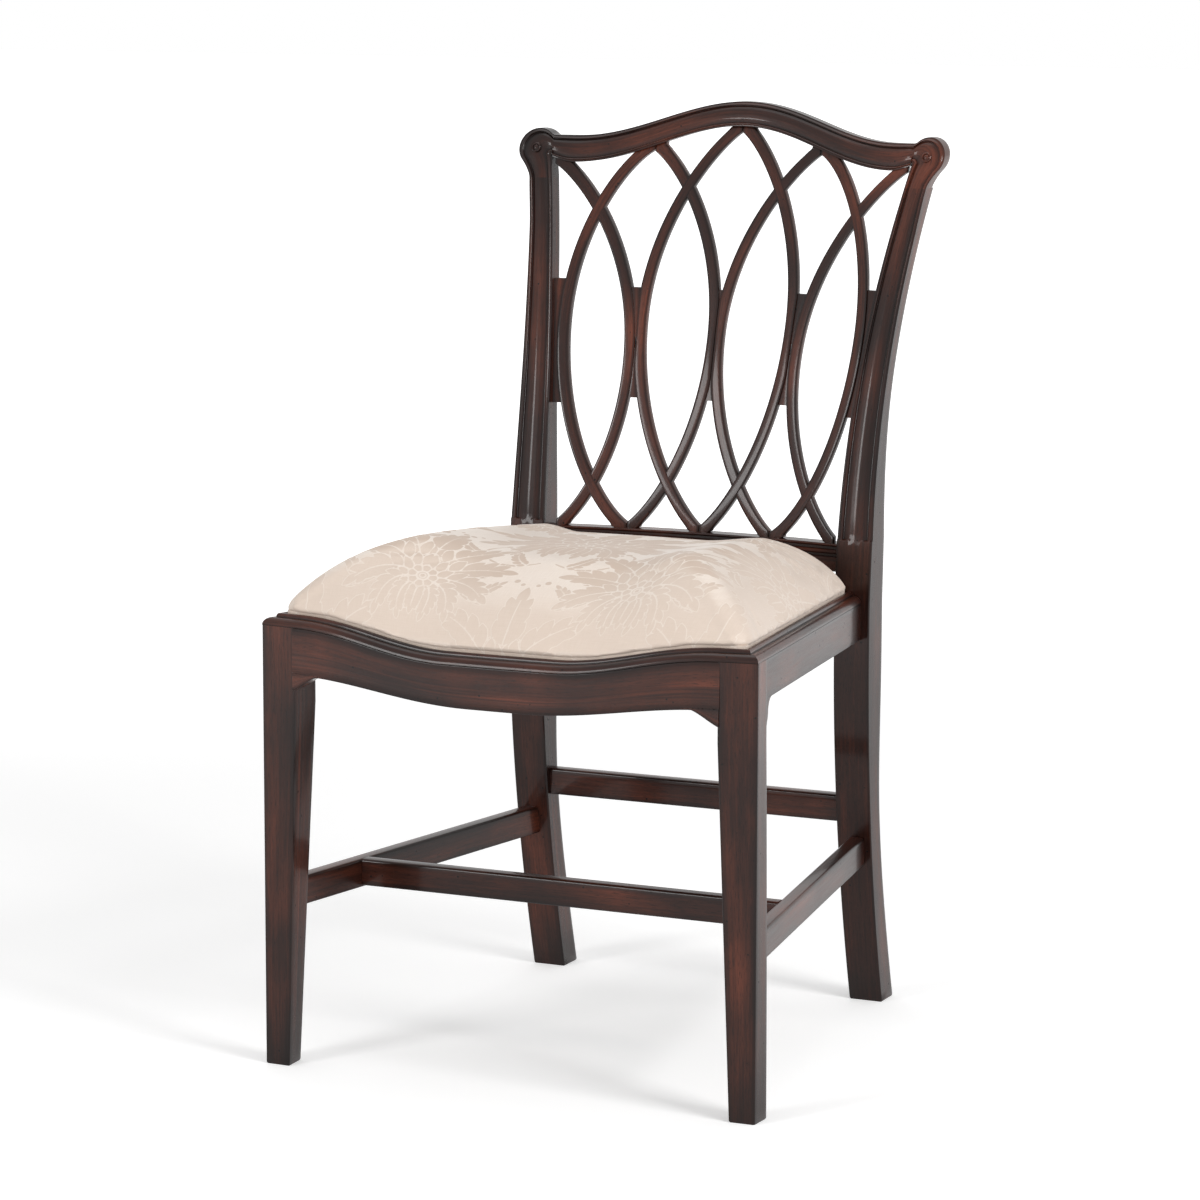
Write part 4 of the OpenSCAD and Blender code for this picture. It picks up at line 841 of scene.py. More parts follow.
@dataclass(frozen=True)
class BackPosts:
    """The back posts: square and sabre-shaped below, moulded and flared above."""

    foot_ease: float = 0.8
    arris: float = 0.9
    front_arris: float = 1.2
    front_arris_share: float = 0.03
    band: float = 7
    band_share: float = 0.16
    turn_h: float = 60
    face_tone: float = 0.62

    def back(self) -> np.ndarray:
        """Points round the back: shares of the width and depth, and insets from them."""
        c, e, b = FORM.back_chamfer, self.arris, self.band
        across = np.array([(1, 0), (1, 0), (1, 0), (1, -e), (1, -c), (1, -b)])
        right = np.hstack([across, np.array([(0.5, 0), (1, -b), (1, -c), (1, -e), (1, 0), (1, 0)])])
        left = right[::-1] * [-1, -1, 1, 1] + [1, 0, 0, 0]
        return np.concatenate([right, [[0.5, 0, 1, 0]], left])

    def rings(self, z: np.ndarray) -> np.ndarray:
        """Sections of the right post, moulded over the stop, and drawn in at the foot.

        Args:
            z: Height of each section.

        Returns:
            The rings.
        """
        f = FORM
        z = z[:, None]
        x, w, d = f.post_x(z), f.post_width(z), f.post_depth(z)
        y = f.post_y + f.rake_y(z)
        across = x + w * FACE.at
        edge = 1 - np.minimum(FACE.at, 1 - FACE.at) / self.front_arris_share
        plain = self.front_arris * np.clip(edge, 0, 1) ** 2
        turn = ease((z - f.joint_z + self.turn_h) / self.turn_h)
        front = y + turn * np.minimum(0, f.bow(across))
        front = front + np.where(z > f.moulding_stop_z, f.face_depth * FACE.depth, plain)
        behind = self.back()
        back = grid(x + w * behind[:, 0] + behind[:, 1], y + d * behind[:, 2] + behind[:, 3], z)
        rings = np.concatenate([grid(across, front, z), back], 1)
        out = rings[..., :2] - rings[..., :2].mean(1, keepdims=True)
        shrink = np.where(z == 0, self.foot_ease, 0)[..., None]
        rings[..., :2] -= shrink * out / np.abs(out).max(1, keepdims=True)
        return rings

    def build(self, shop: Workshop) -> None:
        """Adds both posts.

        Args:
            shop: Where the pieces are made.
        """
        f = FORM
        block = [f.block_top_z, f.moulding_stop_z - 6, f.moulding_stop_z]
        moulded = np.linspace(f.moulding_stop_z + 1.2, f.joint_z, 64)
        z = np.concatenate([[0, 1.5], np.linspace(10, f.block_low_z, 44), block, moulded])
        # Painted shade: the plain faces darken towards their arrises and at the back's corners, and the
        # moulded face darkens in its quirks; the plain part is also darker towards the foot.
        band = np.clip(np.minimum(FACE.at, 1 - FACE.at) / self.band_share, 0, 1)
        corner = [1, 0.6, 0.15, 0.05, 0.15, 0.6]
        back = corner + [1] + corner[:0:-1] + [1]
        plain = np.concatenate([lerp(0.1, 1.0, band), back]) * f.foot_tone(z)[:, None]
        worked = np.concatenate([FACE.tone * self.face_tone, back])
        shop.pair("back_post", self.rings(z), np.where(z[:, None] > f.moulding_stop_z, worked, plain))


@dataclass(frozen=True)
class CrestRail:
    """The moulded crest rail with its ears and bosses."""

    ear_start: float = -44.0
    ear_end: float = 134.0
    ear_up: float = 0.5
    notch_share: float = 0.86
    corner_r: float = 2.0
    neck_power: float = 1.4
    neck_share: float = 0.7
    round_d: float = 12
    boss_r: float = 5.8
    boss_h: float = 2
    dark_from: float = 130
    dark_over: float = 90
    dark_share: float = 0.38

    def pairs(self) -> np.ndarray:
        """Pairs of an inner and an outer point along the right half, in elevation.

        The neck goes on from the post, the ear's outer point runs round a circle about
        the boss while the inner one rounds the corner, and the crest follows its two edges.
        """
        f = FORM
        low = float(f.crest_low(f.boss_x))
        corner_x, corner_z = float(f.post_x(low)) - self.corner_r, low - self.corner_r
        t = np.linspace(0, 1, 36)
        a, b = np.radians(lerp(self.ear_start, self.ear_end, t)), t * np.pi / 2
        inner = grid(corner_x + self.corner_r * np.cos(b), corner_z + self.corner_r * np.sin(b))
        outer = grid(f.boss_x + f.ear_r * np.cos(a), f.boss_z + self.ear_up + f.ear_r * np.sin(a))
        ear = np.stack([inner, outer], 1)
        t = np.linspace(0, 1, 8)[:-1]
        z = lerp(f.joint_z, corner_z, t)
        start = float(f.post_x(f.joint_z)) + f.post_top_w
        outer = grid(lerp(start, outer[0, 0], t**self.neck_power), lerp(f.joint_z, outer[0, 1], t))
        neck = np.stack([grid(f.post_x(z), z), outer], 1)
        back = 1 - np.linspace(0, 1, 72)
        inner_x, outer_x = corner_x * back, (f.boss_x - f.ear_r * self.notch_share) * back
        crest = np.stack([grid(inner_x, f.crest_low(inner_x)), grid(outer_x, f.crest_top(outer_x))], 1)
        return np.concatenate([neck, ear, crest])

    def rings(self, pairs: np.ndarray) -> np.ndarray:
        """Sections over the moulded face and round the back, whose two corners are quarter ellipses.

        Args:
            pairs: Inner and outer point of each section, in elevation.

        Returns:
            The rings.
        """
        f = FORM
        inner, outer = pairs[:, :1], pairs[:, 1:]
        p = lerp(inner, outer, FACE.at[:, None])
        face = grid(p[..., 0], f.back_y(p[..., 0], p[..., 1]) + f.face_depth * FACE.depth, p[..., 1])
        width = np.linalg.norm(outer - inner, axis=2)
        up = ease((outer[..., 1] - f.joint_z) / (f.boss_z - f.ear_r * self.neck_share - f.joint_z))
        round_h = lerp(f.back_chamfer, f.crest_round_h, up) / width
        round_d = lerp(f.back_chamfer, self.round_d, up)
        depth = lerp(float(f.post_depth(f.joint_z)), f.crest_d, up)
        turn = np.linspace(0, np.pi / 2, 7)
        side, drop = (1 - np.cos(turn)) * round_h, 1 - np.sin(turn)
        share = np.concatenate([1 - side, np.full_like(up, 0.5), side[:, ::-1]], 1)
        drop = np.concatenate([drop, [0.0], drop[::-1]])
        q = lerp(inner, outer, share[..., None])
        back = grid(q[..., 0], f.back_y(q[..., 0], q[..., 1]) + depth - round_d * drop, q[..., 1])
        return np.concatenate([face, back], 1)

    def build(self, shop: Workshop) -> None:
        """Adds the rail, darker towards the posts, and two bosses.

        Args:
            shop: Where the pieces are made.
        """
        half = self.rings(self.pairs())
        whole = np.concatenate([half, mirrored(half)[::-1][1:]])
        # Painted shade: the face takes the moulding's tone, low in the quirks, and the back is darker round
        # its corners; the whole rail is also darker towards the posts.
        turn = np.linspace(0.4, 1, 7)
        near_post = ease((np.abs(whole[..., 0]).max(1) - self.dark_from) / self.dark_over)
        tone = np.concatenate([FACE.tone, turn, [1.0], turn[::-1]])
        tone = tone * (1 - self.dark_share * near_post)[:, None]
        shop.add("crest_rail_wood", whole, tone, ("crest_rail",))
        self._bosses(shop)

    def _bosses(self, shop: Workshop) -> None:
        """Adds the turned bosses: a profile of radii and heights spun on the leaning face.

        Args:
            shop: Where the pieces are made.
        """
        f, r, h = FORM, self.boss_r, self.boss_h
        lean = math.atan2(float(f.rake_y(f.boss_z + 1) - f.rake_y(f.boss_z - 1)), 2)
        rim = [(r, -3.0), (r, 0.2), (r - 0.25, h * 0.7), (r - 1.0, h), (r - 1.9, h * 0.95)]
        eye = [(r - 2.4, h * 0.55), (r - 2.9, h * 0.7), (r * 0.3, h * 1.15), (0.3, h * 1.25)]
        reach, rise = np.array(rim + eye).T[:, :, None, None]
        turn = np.linspace(0, 2 * np.pi, 40, endpoint=False)[:, None]
        out = np.array([0, -math.cos(lean), math.sin(lean)])
        up = np.array([0, math.sin(lean), math.cos(lean)])
        centre = np.array([f.boss_x, float(f.back_y(f.boss_x, f.boss_z)), f.boss_z])
        rings = centre + out * rise + reach * (np.cos(turn) * np.array([1, 0, 0]) + np.sin(turn) * up)
        # Painted shade: the tone is low where the boss meets the face and in the groove round its eye.
        tone = np.array([0, 0.05, 0.5, 1, 0.6, 0.0, 0.4, 1, 1])
        shop.pair("crest_boss", rings, np.repeat(tone[:, None], 40, 1), has_node=False)


@dataclass(frozen=True)
class LowerRail:
    """The moulded rail at the foot of the trellis."""

    high: float = 30
    deep: float = 24
    overrun: float = 1.5
    arris: float = 1
    shares: tuple[float, ...] = (0, 0.03, 0.5, 0.55, 0.62, 0.68, 0.74, 0.8, 0.88, 0.95, 0.98, 1)
    depths: tuple[float, ...] = (0.5, 0, 0, 0.8, 0.8, 0.25, 0.2, 1, 1, 0.2, 0.2, 0.5)
    # Painted shade: the tone is low in the quirks and at the arrises.
    tones: tuple[float, ...] = (0.1, 0.8, 0.8, 0.0, 0.1, 0.8, 0.9, 0.0, 0.1, 0.9, 0.8, 0.3)

    def build(self, shop: Workshop) -> None:
        """Adds the rail: its profile carried from post to post along the bowed and raked back.

        Args:
            shop: Where the pieces are made.
        """
        f, a = FORM, self.arris
        low = f.low_rail_top - self.high
        t = np.linspace(-1, 1, 80)[:, None]
        z = low + self.high * np.array(self.shares)
        x = f.post_x(z) * t + np.where(np.abs(t) == 1, self.overrun * t, 0)
        face = grid(x, f.back_y(x, z) + f.face_depth * np.array(self.depths), z)
        down = f.low_rail_top + np.array([0, 0, -a, -self.high / 2, a - self.high, -self.high, -self.high])
        x = f.post_x(down) * t
        inward = np.array([-6, -a, 0, 0, 0, -a, -8])
        back = grid(x, f.back_y(x, low + self.high / 2) + self.deep + inward, down)
        tone = np.array(self.tones + (0.6, 0.1, 0.1, 1, 0.1, 0.1, 0.6))
        shop.add("lower_back_rail_wood", np.concatenate([face, back], 1), tone, ("lower_back_rail",))


@dataclass(frozen=True)
class Trellis:
    """Eight laths that spring from shared lines, bulge across their bay and cross in it.

    Attributes:
        line: Line from which each right-hand lath springs.
        way: Side to which it bulges, 1 outwards and -1 inwards.
        outer: The lath that bulges to the post.
    """

    wide: float = 12.2
    deep: float = 10
    recess: float = 6
    recess_loss: float = 3
    low_x: tuple[float, ...] = (0, 85.5, 166.5)
    top_x: tuple[float, ...] = (0, 100, 212)
    bulge: float = 89.5
    bulge_post: float = 83.5
    bulge_power: float = 0.8
    bulge_post_power: float = 0.7
    widest_share: float = 0.53
    gap: float = 0.15
    behind: float = 0.35
    arris: float = 1.3
    band: float = 3.2
    end_over: float = 2
    spacer_l: float = 120
    spacer_recess: float = 2
    post_spacer_l: float = 136
    spacer_share: float = 0.49
    line: tuple[int, ...] = (0, 1, 1, 2)
    way: tuple[int, ...] = (1, -1, 1, -1)
    outer: int = 2

    def end_z(self, k: int) -> float:
        """Height at which a line meets the crest."""
        return float(FORM.crest_low(self.top_x[k]))

    def up(self, k: int, z: Number) -> np.ndarray:
        """Share of a line's height from the lower rail to the crest."""
        return (np.asarray(z, float) - FORM.low_rail_top) / (self.end_z(k) - FORM.low_rail_top)

    def line_x(self, k: int, z: Number) -> np.ndarray:
        """Place of a line at a height: straight from the lower rail to the crest."""
        return lerp(self.low_x[k], self.top_x[k], self.up(k, z))

    def lath_x(self, lath: int, z: Number) -> np.ndarray:
        """Middle of a lath: its line plus a bulge that is a power of a parabola of the height.

        Args:
            lath: Number of the right-hand lath.
            z: Height.

        Returns:
            Its distance from the middle.
        """
        k, m = self.line[lath], self.widest_share
        t = self.up(k, z)
        s = np.where(t > m, (t - m) / (1 - m), (m - t) / m)
        at_post = lath == self.outer
        bulge = self.bulge_post if at_post else self.bulge
        power = self.bulge_post_power if at_post else self.bulge_power
        return self.line_x(k, z) + self.way[lath] * bulge * np.clip(1 - s * s, 0, None) ** power

    def edge(self, lath: int, side: int, z: Number) -> np.ndarray:
        """An edge of a lath: half its width off its middle, square to its slope, between its lines.

        Args:
            lath: Number of the right-hand lath.
            side: 1 for the outer edge and -1 for the inner one.
            z: Height.

        Returns:
            Its distance from the middle.
        """
        z = np.asarray(z, float)
        k, step = self.line[lath], self.end_over
        near = np.maximum(np.minimum(z, self.end_z(k) - step), FORM.low_rail_top + step)
        slope = (self.lath_x(lath, near + step) - self.lath_x(lath, near - step)) / (2 * step)
        x = self.lath_x(lath, z) + side * self.wide / 2 * np.sqrt(1 + slope**2)
        a = self.line_x(k, z)
        b = np.full_like(z, FORM.boss_x) if lath == self.outer else self.line_x(k + self.way[lath], z)
        return np.minimum(np.maximum(a, b) - self.gap, np.maximum(np.minimum(a, b) + self.gap, x))

    def lath_y(self, x: Number, z: Number) -> np.ndarray:
        """Front of a lath: the back's face, recessed less towards the posts."""
        return FORM.back_y(x, z) + self.recess - self.recess_loss * (np.asarray(x) / FORM.bow_x) ** 2

    def top(self, lath: int, side: int) -> float:
        """Height at which an edge meets the crest's lower edge, by halving the range.

        Args:
            lath: Number of the right-hand lath.
            side: 1 for the outer edge and -1 for the inner one.

        Returns:
            The height.
        """
        low, high = FORM.boss_z - 70, FORM.crest_h
        for _ in range(30):
            middle = (low + high) / 2
            under = float(FORM.crest_low(abs(float(self.edge(lath, side, middle))))) > middle
            low, high = (middle, high) if under else (low, middle)
        return low

    def rings(self, lath: int) -> np.ndarray:
        """Sections of a right-hand lath: a rectangle with eased corners between its two edges.

        Args:
            lath: Number of the lath.

        Returns:
            The rings.
        """
        start, r = FORM.low_rail_top, self.arris
        t = ease(np.linspace(0, 1, 84))[:, None]
        ends = []
        for side in (-1, 1):
            z = lerp(start - 0.5, self.top(lath, side) + 0.6, t)
            ends.append(grid(self.edge(lath, side, np.maximum(z, start)), z))
        inner, outer = ends
        width = np.maximum(1e-3, np.linalg.norm(outer - inner, axis=2))
        e, b = np.minimum(r / width, 0.45), np.minimum(self.band / width, 0.47)
        nil = 0 * e
        share = [nil, 0.3 * e, e, b, nil + 0.5, 1 - b, 1 - e, 1 - 0.3 * e, nil + 1]
        share = np.concatenate(share + [nil + 1, 1 - 0.3 * e, 1 - e, nil + 0.5, e, 0.3 * e, nil], 1)
        front = 0.0 if self.way[lath] > 0 else self.behind
        back = self.deep - (self.behind - front)
        face = front + np.array([r, 0.3 * r, 0, -0.1, -0.25, -0.1, 0, 0.3 * r, r])
        depth = np.concatenate([face, back - np.array([r, 0.3 * r, 0, 0, 0, 0.3 * r, r])])
        p = lerp(inner, outer, share[..., None])
        return grid(p[..., 0], self.lath_y(p[..., 0], p[..., 1]) + depth, p[..., 1])

    def build(self, shop: Workshop) -> None:
        """Adds the laths, numbered from left to right, and the spacers between them.

        Args:
            shop: Where the pieces are made.
        """
        # Painted shade: the laths' tone is low along their arrises.
        edge = [0.5, 0.05, 0.1, 0.7]
        tone = np.array(edge + [1] + edge[::-1] + [0.5, 0.05, 0.2, 1, 0.2, 0.05, 0.5])
        for side in (-1, 1):
            for lath in range(4)[::side]:
                number = 4 - lath if side < 0 else 5 + lath
                rings = self.rings(lath)
                rings = rings if side > 0 else mirrored(rings)
                shop.add(f"lath_{number}_wood", rings, tone, (f"lath_{number}",))
        self._spacers(shop)

    def block(self, z: np.ndarray, x0: np.ndarray, x1: np.ndarray) -> np.ndarray:
        """Rings of a spacer: its face, slightly round, and its back, between two edges.

        Args:
            z: Height of each ring.
            x0: Inner edge at each.
            x1: Outer edge at each.

        Returns:
            The rings.
        """
        y0, y1 = (self.lath_y(x, z) + self.spacer_recess for x in (x0, x1))
        deep = self.deep - 2 * self.spacer_recess
        x, y = (x0 + x1) / 2, (y0 + y1) / 2
        face = [grid(x0, y0, z), grid(x, y - 0.3, z), grid(x1, y1, z)]
        back = [grid(x1, y1 + deep, z), grid(x, y + deep, z), grid(x0, y0 + deep, z)]
        return np.stack(face + back, 1)

    def _spacers(self, shop: Workshop) -> None:
        """Adds two spacers at the posts, and six that fill the gaps where laths part.

        Args:
            shop: Where the pieces are made.
        """
        mid = lerp(FORM.low_rail_top, FORM.boss_z, self.spacer_share)
        # Painted shade: the spacers, set back between the laths, have a low tone, darkest at their edges.
        tone = np.array([0, 0.5, 0, 0, 0.5, 0])
        z = np.linspace(mid - self.post_spacer_l / 2, mid + self.post_spacer_l / 2, 24)
        shop.pair("post_spacer", self.block(z, self.edge(self.outer, 1, z) - 1, FORM.post_x(z) + 1), tone)
        parts = []
        for up in (1, -1):
            z = np.linspace(mid + up * 6, mid + up * self.spacer_l / 2, 16)
            inner = self.edge(1, -1, z) + 0.5
            between = self.block(z, self.edge(0, 1, z) - 0.5, self.edge(3, -1, z) + 0.5)
            parts += [self.block(z, -inner, inner), between, mirrored(between)]
        for number, rings in enumerate(parts, 1):
            shop.add(f"lath_spacer_{number}_wood", rings, tone, ("lath_spacers",) if number == 1 else ())


@dataclass(frozen=True)
class Stretchers:
    """The side, middle and rear stretchers: bars with rounded top edges."""

    top_z: float = 193
    high: float = 30.5
    thick: float = 17
    inset: float = 1.5
    outset: float = 2.5
    medial_y: float = 145
    medial_drop: float = 2
    rear_top_z: float = 238
    rear_high: float = 29.5
    round_r: float = 3.0
    arris: float = 0.8
    band: float = 6

    def bar(self, start: Pair, end: Pair, z: float, high: float, over: float) -> RingsAndTone:
        """Carries the section straight from one point to another.

        Args:
            start: First end in plan.
            end: Second end in plan.
            z: Height of its lower side.
            high: Height of the bar.
            over: How far it runs into the pieces at its ends.

        Returns:
            The rings and the tone.
        """
        run = np.subtract(end, start)
        length = np.linalg.norm(run)
        along = np.append(run / length, 0)
        across = np.array([along[1], -along[0], 0])
        t, r, e = self.thick / 2, self.round_r, self.arris
        turn = np.linspace(0, np.pi / 2, 5)
        curve = grid(t - r * (1 - np.cos(turn)), high - r * (1 - np.sin(turn)))
        side = np.array([(t, e), (t, self.band), (t, high / 2), (t, high - r - 4)])
        flip = np.array([-1, 1])
        low = [[e - t, 0], [0, 0], [t - e, 0]]
        section = np.concatenate([low, side, curve, [[0, high + 0.1]], curve[::-1] * flip, side[::-1] * flip])
        # Painted shade: the tone is low along the bars' arrises and where the round begins.
        rising = [0.1, 0.7, 1, 0.7, 0.2, 0.1, 0.3, 0.7, 0.9]
        tone = np.array([0.1, 0.8, 0.1] + rising + [1.0] + rising[::-1])
        place = np.append(start, z) + along * np.linspace(-over, length + over, 26)[:, None]
        rings = place[:, None] + section[:, :1] * across + section[:, 1:] * np.array([0, 0, 1])
        return rings, tone

    def build(self, shop: Workshop) -> None:
        """Adds the four stretchers, each from the middle of one member to the next.

        Args:
            shop: Where the pieces are made.
        """
        f = FORM
        half = self.thick / 2
        low = self.top_z - self.high
        mid_z = self.top_z - self.high / 2
        leg_d = lerp(f.leg_foot_d, f.leg_d, mid_z / f.leg_taper_z)
        leg = f.leg_point(mid_z, 0.0, leg_d)
        x0, y0 = leg[0] - self.inset - half, leg[1]
        x1 = float(f.post_x(mid_z) + f.post_width(mid_z) / 2) + self.outset
        y1 = f.post_y + float(f.rake_y(mid_z))
        shop.pair("side_stretcher", *self.bar((x0, y0), (x1, y1), low, self.high, 4))
        y = f.corner_y + self.medial_y + half
        x = x0 - (y - y0) * (x0 - x1) / (y1 - y0) - half
        rings, tone = self.bar((-x, y), (x, y), low + self.medial_drop, self.high - self.medial_drop, 1)
        shop.add("medial_stretcher_wood", rings, tone, ("medial_stretcher",))
        mid_z = self.rear_top_z - self.rear_high / 2
        y = f.post_y + float(f.rake_y(mid_z) + f.post_depth(mid_z) / 2)
        low = self.rear_top_z - self.rear_high
        rings, tone = self.bar((-f.post_in, y), (f.post_in, y), low, self.rear_high, 2)
        shop.add("rear_stretcher_wood", rings, tone, ("rear_stretcher",))


# Cushion


@dataclass(frozen=True)
class Pillow:
    """The cushion's form in the plane of the seat, and its unrolled cloth.

    Attributes:
        share: Share of the full crown that this pillow has.
    """

    share: float = 1.0
    crown: float = 91.0
    crown_power: float = 3.7
    edge_power: float = 0.86
    ring_power: float = 0.8
    corner_fall: float = 0.15
    corner_power: float = 2.1
    saddle: float = 32.0
    saddle_flat: float = 73.0
    saddle_reach: float = 197.0
    saddle_power: float = 4.0
    back_fall: float = 3.0
    low_h: float = 7
    swell: float = 5
    corner_r: float = 22
    seat_corner_r: float = 8

    @property
    def front_y(self) -> float:
        """Inset of the cushion's widest line from the rails' faces."""
        return FORM.seat_edge - self.swell

    @property
    def mid_y(self) -> float:
        """Middle of the cushion from front to back."""
        return (FORM.seat_back_y + self.front_y) / 2

    def loop(self, inset: float, r: float, back_in: float = 0.0) -> np.ndarray:
        """Plan outline, anticlockwise from the middle of the front: arc, corner, side, corner, back.

        Args:
            inset: Inset from the rails' faces.
            r: Radius of the corners.
            back_in: Further inset at the back.

        Returns:
            The points of the outline.
        """
        f = FORM
        back = f.seat_back_y - back_in
        fy = float(f.front_y(inset + r, f.side_x(inset + r, inset + r)))
        fx = float(f.side_x(inset + r, fy))
        bx, by = f.side_x(inset + r, back - r), back - r
        x = np.linspace(0, fx, 46)[:-1]
        front = grid(x, f.front_y(inset, x))
        a = np.linspace(math.asin(fx / f.front_r) - math.pi / 2, f.splay, 14)
        front_corner = grid(fx + r * np.cos(a), fy + r * np.sin(a))
        y = np.linspace(fy, by, 60)[1:-1] + r * math.sin(f.splay)
        side = grid(f.side_x(inset, y), y)
        a = np.linspace(f.splay, math.pi / 2, 14)
        back_corner = grid(bx + r * np.cos(a), by + r * np.sin(a))
        edge = grid(np.linspace(bx, 0, 36)[1:], back)
        half = np.concatenate([front, front_corner, side, back_corner, edge])
        return np.concatenate([half, half[-2:0:-1] * [-1, 1]])

    def top(self, x: Number, y: Number, s: Number) -> np.ndarray:
        """Height over the rails: a crown of powers of the ring's share, lower at corners and saddle.

        Args:
            x: Distance from the middle.
            y: Distance back in the plane of the seat.
            s: Share of the way from the middle to the edge.

        Returns:
            The height.
        """
        f = FORM
        u = np.abs(x) / f.side_x(self.front_y, y)
        v = np.abs(y - self.mid_y) / (f.seat_back_y - self.mid_y)
        fall = 1 - self.corner_fall * np.minimum(1, u * v) ** self.corner_power
        rise = np.clip(1 - np.asarray(s) ** self.crown_power, 0, None) ** self.edge_power
        z = f.cap_h + self.low_h - f.seat_dip(x, y) + self.crown * self.share * rise * fall
        out = (np.abs(x) - self.saddle_flat) / (self.saddle_reach - self.saddle_flat)
        hollow = self.saddle * (1 - ease(out))
        behind = np.clip((y - self.mid_y) / (f.seat_back_y - self.mid_y), 0, 1)
        lower = np.clip(hollow - f.seat_dip(x, y), 0, None) + self.back_fall * behind
        return z - lower * (1 - np.clip(s, 0, 1) ** self.saddle_power)

    def rings(self) -> np.ndarray:
        """Rings from the bottom at the moulding up to the crown, by a cosine of the share."""
        f = FORM
        rim = []
        for z, out, r in ((1.0, 0.0, 0.0), (3.0, 0.45, 0.5), (5.0, 0.8, 0.8), (self.low_h, 1.0, 1.0)):
            x, y = self.loop(f.seat_edge - self.swell * out, lerp(self.seat_corner_r, self.corner_r, r)).T
            rim.append(grid(x, y, f.cap_h + z - f.seat_dip(x, y)))
        plan = self.loop(self.front_y, self.corner_r)
        s = np.cos(np.linspace(0.06, 1, 44)[:-1, None] * math.pi / 2) ** self.ring_power
        x, y = plan[:, 0] * s, self.mid_y + (plan[:, 1] - self.mid_y) * s
        return np.concatenate([rim, grid(x, y, self.top(x, y, s))])

    def mesh(self, name: str) -> bpy.types.Mesh:
        """The closed pillow: a tube through the rings and a fan to a point at either end.

        Args:
            name: Name of the mesh.

        Returns:
            The new mesh.
        """
        f = FORM
        rings = self.rings()
        rows, count = rings.shape[:2]
        tip = [0, self.mid_y, float(self.top(0.0, self.mid_y, 0.0))]
        low = [0, self.mid_y, f.cap_h + 1.0 - float(f.seat_dip(0.0, self.mid_y))]
        points = f.on_seat(np.concatenate([rings.reshape(-1, 3), [tip, low]])) * MM
        here = np.arange(count)
        following = (here + 1) % count
        start, pole = (rows - 1) * count, rows * count
        fans = np.stack([grid(start + here, start + following, pole), grid(following, here, pole + 1)], 1)
        mesh = bpy.data.meshes.new(name)
        mesh.from_pydata(points.tolist(), [], tube_faces(rows, count).tolist() + fans.reshape(-1, 3).tolist())
        mesh.update()
        return mesh

    def unroll(self, points: np.ndarray) -> np.ndarray:
        """Cloth coordinates: the distance over the surface from the crown, in its direction.

        The way down from the crown in a point's direction is cut into short lines. The
        point takes the length up to its foot on the nearest of them.

        Args:
            points: Points on the cushion in the plane of the seat.

        Returns:
            Two cloth coordinates of each point, in millimetres.
        """
        d = self.loop(self.front_y, self.corner_r) - [0, self.mid_y]
        q = points[:, :2] - [0, self.mid_y]
        bearing = np.arctan2(q[:, 1], q[:, 0])
        order = np.argsort(np.arctan2(d[:, 1], d[:, 0]))
        angle, reach = np.arctan2(d[:, 1], d[:, 0])[order], np.linalg.norm(d, axis=1)[order]
        full = np.interp(bearing, angle, reach, period=2 * np.pi)
        r, z = np.linalg.norm(q, axis=1), points[:, 2]
        ux, uy = np.cos(bearing), np.sin(bearing)
        along, length, best = np.zeros(len(r)), np.zeros(len(r)), np.full(len(r), np.inf)
        last_r, last_z = 0 * r, self.top(0 * r, self.mid_y + 0 * r, 0.0)
        for share in np.sin(np.linspace(0, np.pi / 2, 48)[1:]) ** self.ring_power:
            next_r = full * share
            next_z = self.top(ux * next_r, self.mid_y + uy * next_r, share)
            run, rise = next_r - last_r, next_z - last_z
            step = np.hypot(run, rise) + 1e-9
            t = np.clip(((r - last_r) * run + (z - last_z) * rise) / step**2, 0, 1)
            gap = np.hypot(r - last_r - t * run, z - last_z - t * rise)
            along = np.where(gap < best, length + t * step, along)
            best, length = np.minimum(gap, best), length + step
            last_r, last_z = next_r, next_z
        along += np.clip(last_z - z, 0, None) * (r > 0.9 * full)
        return grid(ux * along, uy * along)


